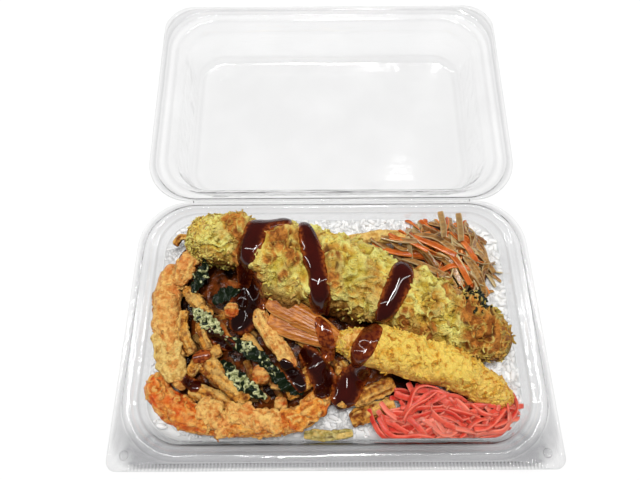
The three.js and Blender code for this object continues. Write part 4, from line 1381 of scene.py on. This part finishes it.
# Battered sticks of vegetable that show in the fritter: from end to end, width, height
FRITTER_STICKS = [
    [[[-66, 37, 38.5], [-71.5, 26.5, 39.5], [-75, 15, 37.5]], 7, 4],
    [[[-60, 31, 40], [-65, 19, 40], [-69, 9, 38]], 5, 4],
    [[[-71, 15, 38], [-65, 8, 40], [-58, 1, 39]], 5.5, 4],
    [[[-71, 4, 38.5], [-70, -6, 39.5], [-65, -16, 37.5]], 5.5, 4],
    [[[-63, 0, 38.5], [-61, -7.5, 39.5], [-58, -14, 38]], 4.5, 4],
    [[[-66, -25, 37], [-60, -18, 39], [-52, -14, 38.5]], 6, 4],
    [[[-60, -19, 38], [-50, -27, 40], [-38, -36, 37.5]], 9, 4.5],
    [[[-65, -31, 35.5], [-55, -35, 37.5], [-43, -40, 36]], 7, 4.5],
    [[[-41, -7.5, 38.5], [-36, -14, 39.5], [-31, -20.5, 38]], 4.5, 4],
    [[[-1, -16, 38.5], [-9, -22.5, 39.5], [-17, -29, 37.5]], 5.5, 4.5],
    [[[-6, -26, 38], [-13, -30, 38.5], [-21, -34.5, 36.5]], 5, 4],
    [[[-20, -6, 38], [-12, -13, 39], [-7, -19, 38]], 4.5, 4],
    [[[2, -20, 37], [6, -29, 37.5], [2, -39, 35]], 6.5, 5],
]

# Round crumbs of batter on the fritter: middle, radius
FRITTER_LUMPS = [[[-47.5, 3, 41.5], 3.6], [[-33, -25.5, 39], 4.2], [[-24, -38, 37], 3]]


def round_crumb(middle, radius, seed):
    """One round crumb of batter: a battered form as long as it is wide."""
    reach = np.array([radius, 0, 0])
    path = [middle - reach, middle, middle + reach]
    return battered(
        path, even(radius), even(radius), rings=40, around=40, seed=seed, knob=1.6, rise=0.9, blunt=2,
        lump=0.02, rich=lambda p, t: 1 + 0 * t,
    )


def fritter():
    """The vegetable fritter: a rough core painted dark as the shade between the pieces, its larger sticks,
    round crumbs, and strips between them.
    """
    core, _ = mound(FRITTER_OUTLINE, FRITTER_MIDDLE, height=9, seed=14, rough=1.4)
    piece("fritter_core", [skin(core)], soaked_finish(), ["vegetable_fritter"])
    heap.lay(core)
    strips, shade = strewn_strips(
        FRITTER_OUTLINE, FRITTER_MIDDLE, count=34, length=14, width=3, depth=2, heading=-0.8, spread=0.7,
        seed=15, within=0.85, ceiling=38.5,
    )
    # Blue, in patches: parts of the strips take the dark that the batter paints as shade.
    shade = shade + step_up(swell(strips, 4, 16), -0.6, 0.5)[..., None] * [0, 0, 0.9]
    sticks = [
        battered(
            path, even(width / 2), even(height / 2), rings=90, around=40, seed=100 + i, knob=3, rise=0.2,
            blunt=9, lump=0.06, soaked=0.75,
        )
        for i, (path, width, height) in enumerate(FRITTER_STICKS)
    ]
    crumbs = [round_crumb(middle, radius, 150 + i) for i, (middle, radius) in enumerate(FRITTER_LUMPS)]
    for points, _ in sticks + crumbs:
        heap.lay(points)
    parts = [(strips, shade), *sticks, *crumbs]
    piece("fritter_sticks", [skin(*part) for part in parts], fritter_batter)
    frizz = [
        curls(points, step_up(points[..., 2], 35, 39), count=14, length=3, thick=0.8, seed=170 + i, pale=1)
        for i, (points, _) in enumerate(sticks)
    ]
    piece("fritter_frizz", [skin(*one) for one in frizz], fritter_batter)


# ---- Strips strewn over a heap ----

def strip(stops, wide, deep, roll, narrow=0, rings=22, around=10):
    """One cut strip along a path, rolled by the first lean plus the second times t, and narrower by the share
    narrow at its end. The section is a rounded oblong: each of cos and sin is raised to the power 0.6."""
    row = eased_rows(rings)
    turn = full_turn(around)
    point, tangent = smooth_path(stops, row)
    side, up = sides(tangent)
    size = (closing(row, 12) * (1 - narrow * row))[:, None]
    flat = wide / 2 * size * np.sign(np.cos(turn)) * np.abs(np.cos(turn)) ** 0.6
    thick = deep / 2 * size * np.sign(np.sin(turn)) * np.abs(np.sin(turn)) ** 0.6
    lean = (roll[0] + roll[1] * row)[:, None]
    across, rise = flat * np.cos(lean) - thick * np.sin(lean), flat * np.sin(lean) + thick * np.cos(lean)
    return point[:, None] + side[:, None] * across[..., None] + up[:, None] * rise[..., None]


def rested(x, y, deep, wilt):
    """A strip's stops laid on the heap; wilt times, each is raised to the line between its neighbours."""
    rest = heap.height(x, y) + deep * 0.35
    z = rest.copy()
    for _ in range(wilt):
        z[1:-1] = np.maximum(rest[1:-1], 0.5 * (z[:-2] + z[2:]))
    return np.stack([x, y, z], axis=-1)


def at_edges(points):
    """Which points of a strip's rings are along its two edges."""
    return np.abs(np.cos(full_turn(points.shape[1]))) > 0.75


def strewn_strips(outline, middle, count, length, width, depth, heading, spread, seed, within=0.9, bend=0.25,
                  wilt=3, ceiling=99, roll=0.6):
    """Cut strips dropped one by one on the heap, where it is lower than the ceiling. Each is a path of seven
    stops, bent in plan by a parabola and a little by a full wave, leant and twisted by up to roll, and
    narrower at its end by up to 0.4. Some are soaked, by Red, and some pale, by Green, as are all edges."""
    rng = np.random.default_rng(seed)
    made, tints = [], []
    while len(made) < count:
        edge = round_outline(outline, rng.uniform())
        out = within * np.sqrt(rng.uniform())
        x0, y0 = np.array(middle) * (1 - out) + edge[:2] * out
        direction = heading + spread * rng.uniform(-1, 1)
        long, wide, deep = np.array([length, width, depth]) * rng.uniform(0.75, 1.25, 3)
        s = np.linspace(-0.5, 0.5, 7)
        forward, sideways = long * s, bend * rng.uniform(-2, 2) * long * (0.25 - s * s)
        sideways = sideways + bend * rng.uniform(-0.2, 0.2) * long * np.sin(2 * np.pi * s)
        x = x0 + forward * np.cos(direction) - sideways * np.sin(direction)
        y = y0 + forward * np.sin(direction) + sideways * np.cos(direction)
        stops = rested(x, y, deep, wilt)
        if stops[:, 2].max() > ceiling:
            continue
        points = strip(stops, wide, deep, rng.uniform(-roll, roll, 2), 0.4 * rng.uniform())
        tone = rng.uniform(0, 1, 2)
        made.append(points)
        edges = at_edges(points)
        soaked, pale = 0.7 * (tone[0] > 0.72) + 0 * edges, 0.6 * (tone[1] > 0.7) + 0.5 * edges
        tints.append(np.broadcast_to(np.stack([soaked, pale, 0 * edges], axis=-1), points.shape))
        heap.lay(points)
    points = np.stack(made)
    points = points + normals(points) * (0.12 * swell(points, 1.5, seed))[..., None]
    return pressed_in(points, -0.2), np.stack(tints)


# The heaps' outlines and middles in plan
GINGER_OUTLINE = [
    [22, -50], [29, -40], [44, -33], [62, -33], [79, -37],
    [79, -43], [70, -49], [56, -51], [38, -52],
]
GINGER_MIDDLE = (52, -43)
ROOT_OUTLINE = [
    [30, 40], [42, 50], [58, 54], [73, 50], [82, 37],
    [82, 22], [73, 9], [60, 10], [44, 20], [34, 30],
]
ROOT_MIDDLE = (60, 32)

# The roots' strewn layers, burdock, carrot and burdock: middle, count, length, width, depth, seed
ROOT_LAYERS = [
    [ROOT_MIDDLE, 40, 20, 3, 0.7, 19],
    [(56, 32), 54, 20, 2.7, 0.9, 20],
    [ROOT_MIDDLE, 32, 21, 3.2, 0.7, 21],
]

# Strips that lie on top of the roots and over the rice to their left: path from above, width
BURDOCK_ON_TOP = [
    [[[35, 33], [44, 27.5], [54, 20]], 3.4],
    [[[47, 27], [52, 17], [58, 9]], 3.2],
    [[[68, 38], [75, 32], [82, 25]], 3],
    [[[64, 30], [70, 22], [77, 13]], 3.2],
    [[[42, 44], [52, 41], [60, 33]], 3.2],
    [[[19, 40], [28, 36], [39, 30]], 3.4],
    [[[24, 40.5], [32, 38.5], [42, 38]], 3],
]
CARROT_ON_TOP = [
    [[[40, 41], [50, 36], [60, 30]], 3.4],
    [[[54, 37], [60, 27], [66, 16]], 3],
    [[[50, 22], [58, 25], [68, 24]], 2.8],
    [[[60, 44], [66, 36], [71, 28]], 3],
    [[[20, 38.5], [29, 34.5], [40, 33]], 3],
    [[[28, 40], [38, 38], [47, 33]], 2.8],
]

# Two ribbons of burdock that stand up at the back
BURDOCK_UPRIGHT = [
    [[54.7, 39, 44], [53.5, 44, 48.5], [51.8, 49, 52]],
    [[63.3, 37.5, 42], [62.5, 43, 46], [61.1, 49, 50]],
]


def in_shadow(core):
    """The skin of a heap's core, marked dark all over by the tint's Blue."""
    return skin(core[0], np.broadcast_to([0.0, 0.0, 1.0], core[0].shape))


def ginger():
    """A heap of shredded red ginger."""
    core = mound(GINGER_OUTLINE, GINGER_MIDDLE, height=4.5, rings=30, around=90, seed=16, rough=0.5)
    heap.lay(core[0])
    strips = strewn_strips(
        GINGER_OUTLINE, GINGER_MIDDLE, count=115, length=24, width=2.4, depth=1.2, heading=0.05,
        spread=0.8, seed=17, within=0.87, bend=0.5, ceiling=41, roll=1,
    )
    piece("ginger_shreds", [in_shadow(core), skin(*strips)], ginger_finish(), ["pickled_ginger"])


def edged(points, pale):
    """A strip with its tint: Green pale all over and more along its edges, Red in soaked places."""
    soaked = 0.8 * step_up(swell(points, 3, 22), 0, 0.8)
    green = np.minimum(1, pale + 0.5 * at_edges(points) + 0 * soaked)
    return points, np.stack([soaked, green, 0 * soaked], axis=-1)


def strip_on_top(path, width):
    """A strip laid over the heap along a path told from above, leaning to one side and then a little back."""
    x, y = np.transpose(path).astype(float)
    return edged(strip(rested(x, y, deep=1, wilt=2), width, deep=1, roll=(0.5, -0.6)), pale=0.1)


def roots():
    """Braised burdock and carrot: a dark core, strips strewn over it, single strips across them, and ribbons
    that stand up at the back."""
    within = np.array(ROOT_OUTLINE) * 0.85 + np.array(ROOT_MIDDLE) * 0.15
    core = mound(within.tolist(), ROOT_MIDDLE, height=6, rings=30, around=90, seed=18, rough=0.5)
    heap.lay(core[0])
    common = dict(heading=-0.95, spread=1.1, bend=0.3, within=0.85, wilt=3, ceiling=46, roll=1.2)
    under, carrot, over = (
        strewn_strips(ROOT_OUTLINE, middle, count, length, width, depth, seed=seed, **common)
        for middle, count, length, width, depth, seed in ROOT_LAYERS
    )
    burdock_top = [strip_on_top(*one) for one in BURDOCK_ON_TOP]
    carrot_top = [strip_on_top(*one) for one in CARROT_ON_TOP]
    upright = [
        edged(strip(path, wide=3.6, deep=0.9, roll=(-0.3, 0.7), narrow=0.2), pale=0.3)
        for path in BURDOCK_UPRIGHT
    ]
    beige = [in_shadow(core)] + [skin(*one) for one in (under, over, *burdock_top, *upright)]
    piece("burdock_strips", beige, burdock_finish(), ["burdock_and_carrot"])
    piece("carrot_strips", [skin(*one) for one in (carrot, *carrot_top)], carrot_finish())


# ---- Leaves ----

# Leaves: path, width, height of their waves, share of them under batter
LEAVES = [
    [[[-61, 27, 42], [-63.5, 20, 42.5], [-67, 12, 41]], 6.5, 0.9, 0.5],
    [[[-57, 7, 41.5], [-51, 11, 42.5], [-44, 13, 42]], 7, 0.7, 0.05],
    [[[-66, 4, 41], [-59, -1.5, 42], [-51, -8, 41]], 7, 0.8, 0.95],
    [[[-50, -9, 41], [-38, -15.5, 42], [-25, -25, 41]], 6.5, 1, 0.5],
    [[[-51, -19, 40.5], [-41, -29, 41.5], [-30, -36, 40]], 6.5, 1, 0.7],
    [[[-30, -23, 40], [-22, -29, 41], [-14, -34, 39.5]], 7, 0.9, 0.3],
]


def leaf(number, path, width, wave, battered_share, material):
    """One fried leaf: a wavy band along a path, 1 mm thick, narrower at its ends, and raised to lie on the
    heap; knobs of batter stand on the patches that the tint marks."""
    rings = 110
    t, v, above = two_sided((np.arange(rings) + 0.5) / rings, 34)
    point, tangent = smooth_path(path, t)
    side, _ = sides(tangent)
    ends = closing(t, 5)
    half = width / 2 * (0.35 + 0.65 * np.sin(np.pi * t)) * ends
    points = point + side * (half * v * (1 + 0.15 * np.sin(23 * t + 2 * v) + 0.1 * np.sin(61 * t)))[..., None]
    base = wave * np.sin(13 * t + 2 * v + number) + 0.8 * swell(points * [1, 1, 0], 2.5, number)
    flat = points * [1, 1, 0]
    mark = 0.5 * swell(flat, 4, number + 20) + 0.9 * swell(flat, 1.4, number + 25)
    mark = mark + 0.7 * ridges(flat, 2.4, number + 30) - 0.35 - 0.3 * np.abs(v)
    patch = step_up(mark, 0.9 - 1.8 * battered_share, 1.1 - 1.8 * battered_share)
    lump = patch * (0.4 + 0.6 * knobs(flat, 1.5, number + 40))
    rim = np.sqrt(np.clip(1 - v ** 2, 0, 1)) ** 0.3
    points[..., 2] += base + np.where(above, 0.5 + lump, -0.5) * rim * ends
    low = heap.height(points[..., 0], points[..., 1], 3)
    points[..., 2] = np.maximum(points[..., 2], low + 0.25 + np.where(above, 0.5 + lump, -0.4) * rim * ends)
    tint = np.stack([patch * above, 0 * patch, 0 * patch], axis=-1)
    laid(f"leaf_{number}_fried", [(points, tint)], material, [f"leaf_{number}"])


# ---- Sauce ----

def sauce_band(path, widths, thickness, dark, seed, rings=150, across=26, sink=1.6):
    """A band of sauce that lies on the heap. Its middle line is seen from above, its half width runs through
    the widths given, and each point sits over the eased heights by thickness * (1 - v²)^0.6 along their
    normal, with the underside sunk into what carries it. A thin band follows the heights more closely."""
    easing = 45 if thickness > 1.5 else 8
    t, v, above = two_sided(eased_rows(rings), across)
    point, tangent = smooth_path(in_plan(path), t)
    side, _ = sides(tangent)
    ends = closing(t, 5)
    half = np.interp(t, np.linspace(0, 1, len(widths)), widths) / 2
    half = half * ends * (1 + 0.1 * swell(point + v[..., None], 6, seed))
    plan = point + side * (half * v)[..., None]
    x, y = plan[..., 0], plan[..., 1]
    base = heap.height(x, y, easing) + 0.3
    arch = np.clip(1 - v ** 2, 0, 1) ** 0.6 * ends
    depth = thickness * arch * (1 + 0.12 * swell(plan, 9, seed + 3))
    lift = np.where(above, depth - 0.1, -sink)
    points = np.stack([x, y, base], axis=-1) + heap.slope(x, y, easing) * lift[..., None]
    deep = step_up(depth / thickness, 0.2, 0.85)
    tint = np.stack([deep * (1 + min(dark, 0)), max(dark, 0) * np.maximum(deep, 0.5), 0 * depth], axis=-1)
    return under_lid(points), tint


# The sauce's strands and pools: path from above, widths along it, thickness, and how near black it is, or
# how amber where that is less than 0. The main strands, over the fish cake and the prawn, come first.
MAIN_SAUCE_BANDS = 6
SAUCE_BANDS = [
    [[[-20, 41], [-27, 44], [-34, 41], [-37, 33], [-40, 24], [-43, 15]], [8, 10, 11, 11, 12, 11], 3.6, 0.45],
    [[[-42, 22], [-40, 11], [-42, 1], [-46.5, -6]], [10, 16, 16, 8], 1.8, 0.9],
    [[[-15, 44], [-12, 35], [-9.5, 25], [-7.5, 15], [-6.4, 6], [-5.6, 0]],
     [7, 9, 9.5, 9, 10.5, 10], 3.3, 0.45],
    [[[-5.8, -1], [-4.8, -7], [-3, -15], [-2, -20]], [7.5, 7, 7, 5], 0.9, -0.5],
    [[[34, 27], [31, 17], [27.5, 9], [22.5, 0], [20, -4]], [9, 12.5, 11, 9, 6], 3.3, 0.5],
    [[[19, -5], [15, -11], [11.5, -17], [9, -23]], [7, 9, 9, 6], 1.4, -0.2],
    [[[15, -23], [8, -28], [4, -34], [0, -39]], [8, 13, 14, 6], 2.2, 0.5],
    [[[-15, -14], [-9, -21], [-5, -29], [-7, -36]], [6, 10, 12, 6], 1.4, 0.7],
    [[[-24, -20], [-18, -26], [-14, -33]], [4, 8, 5], 0.9, 0.9],
    [[[-68, -27], [-63, -30], [-60, -29]], [5, 6.5, 4], 1.1, 0.5],
    [[[-64, -19], [-60, -17.5], [-56, -16.5]], [4, 6.5, 4], 1.6, -0.7],
    [[[-58, -6], [-52, -10.5], [-45, -13.5]], [4, 6.5, 4], 1, 0.8],
]
# A low pool between the prawn and the ginger, nearly black: sauce, and painted shade under the prawn. Middle,
# then outline, in plan.
SAUCE_POOL_MIDDLE = (28, -29)
SAUCE_POOL_OUTLINE = [[8, -22], [24, -24], [44, -29], [48, -34], [36, -35], [24, -34], [10, -32]]


def sauce():
    """Thick sauce: strands that run over the fish cake and the prawn, smaller drips and pools on the fritter,
    and a low, nearly black pool between the prawn and the ginger, which is sauce and painted shade under the
    prawn."""
    bands = [skin(*sauce_band(*band, seed=200 + i)) for i, band in enumerate(SAUCE_BANDS)]
    pool, _ = mound(SAUCE_POOL_OUTLINE, SAUCE_POOL_MIDDLE, height=2.2, rings=24, around=90, rough=0.1)
    # Green 0.9 makes the pool nearly black, painted shade as well as sauce.
    bands.append(skin(pool, np.broadcast_to([1.0, 0.9, 0.0], pool.shape)))
    piece("sauce_strands", bands, sauce_finish())


# ---- Loose pieces ----

# Battered sticks apart from the fritter: node, path, width, height
LOOSE_STICKS = [
    ["front_stick_upper", [[27, -29, 34], [17, -33, 35], [8, -37, 34]], 7, 5],
    ["front_stick_lower", [[27, -38, 32], [17, -41, 32.5], [7, -45, 32]], 7, 5],
    ["back_stick", [[4, 38.5, 36], [20, 41.5, 38], [37, 41.5, 38]], 6.5, 5],
    ["onion_strip", [[-14, -50.5, 29.3], [-3, -51, 29.3], [8, -50, 29.3]], 4, 2.4],
    ["back_crumb_strip", [[-80, 39, 34.5], [-77.5, 43, 35], [-72, 43, 35]], 3.4, 3],
]


def loose_sticks():
    """The battered sticks that lie apart from the fritter."""
    for i, (name, path, width, height) in enumerate(LOOSE_STICKS):
        part = battered(
            path, even(width / 2), even(height / 2), rings=110, around=48, seed=300 + i, knob=2.8, rise=0.25,
            blunt=8,
        )
        material = {"onion_strip": pale_onion, "back_stick": pale_batter}.get(name, fritter_batter)
        laid(f"{name}_crust", [part], material, [name])


def stick():
    """The thick battered stick on the fritter beside the tail, with a browned cut end."""
    part = battered(
        [[-36, 4, 41], [-29, -8, 42], [-18, -23, 41.5]], even(3.7), even(3.4),
        rings=150, around=60, seed=4, knob=2.8, rise=0.6, blunt=4,
        rich=lambda p, t: step_up(t, 0.86, 0.95),
    )
    laid("thick_stick_crust", [part], onion_batter, ["fritter_stick"])


# ---- The meal ----

camera()
studio()
floor()
plastic = clear_plastic()
white_rice = rice_finish()
carrot_batter = golden_batter("carrot_batter", (204, 100, 26), (252, 172, 72), (226, 84, 18))
onion_batter = golden_batter("onion_batter", (218, 134, 56), (255, 204, 118), (234, 116, 44))
pale_batter = golden_batter("pale_batter", (210, 156, 74), (248, 214, 130), (236, 170, 84))
fritter_batter = golden_batter("fritter_batter", (132, 62, 14), (230, 158, 62), (198, 78, 18))
pale_onion = golden_batter("pale_onion", (172, 150, 70), (226, 210, 140), (190, 160, 80))

tray()
lid()
hinge_strip()
rice()
leaf_green = leaf_finish()
fish_cake()
prawn()
prawn_tail()
stick()
front_arc()
side_column()
fritter()
for number, (path, width, wave, battered_share) in enumerate(LEAVES, 1):
    leaf(number, path, width, wave, battered_share, leaf_green)
loose_sticks()
ginger()
roots()
sauce()
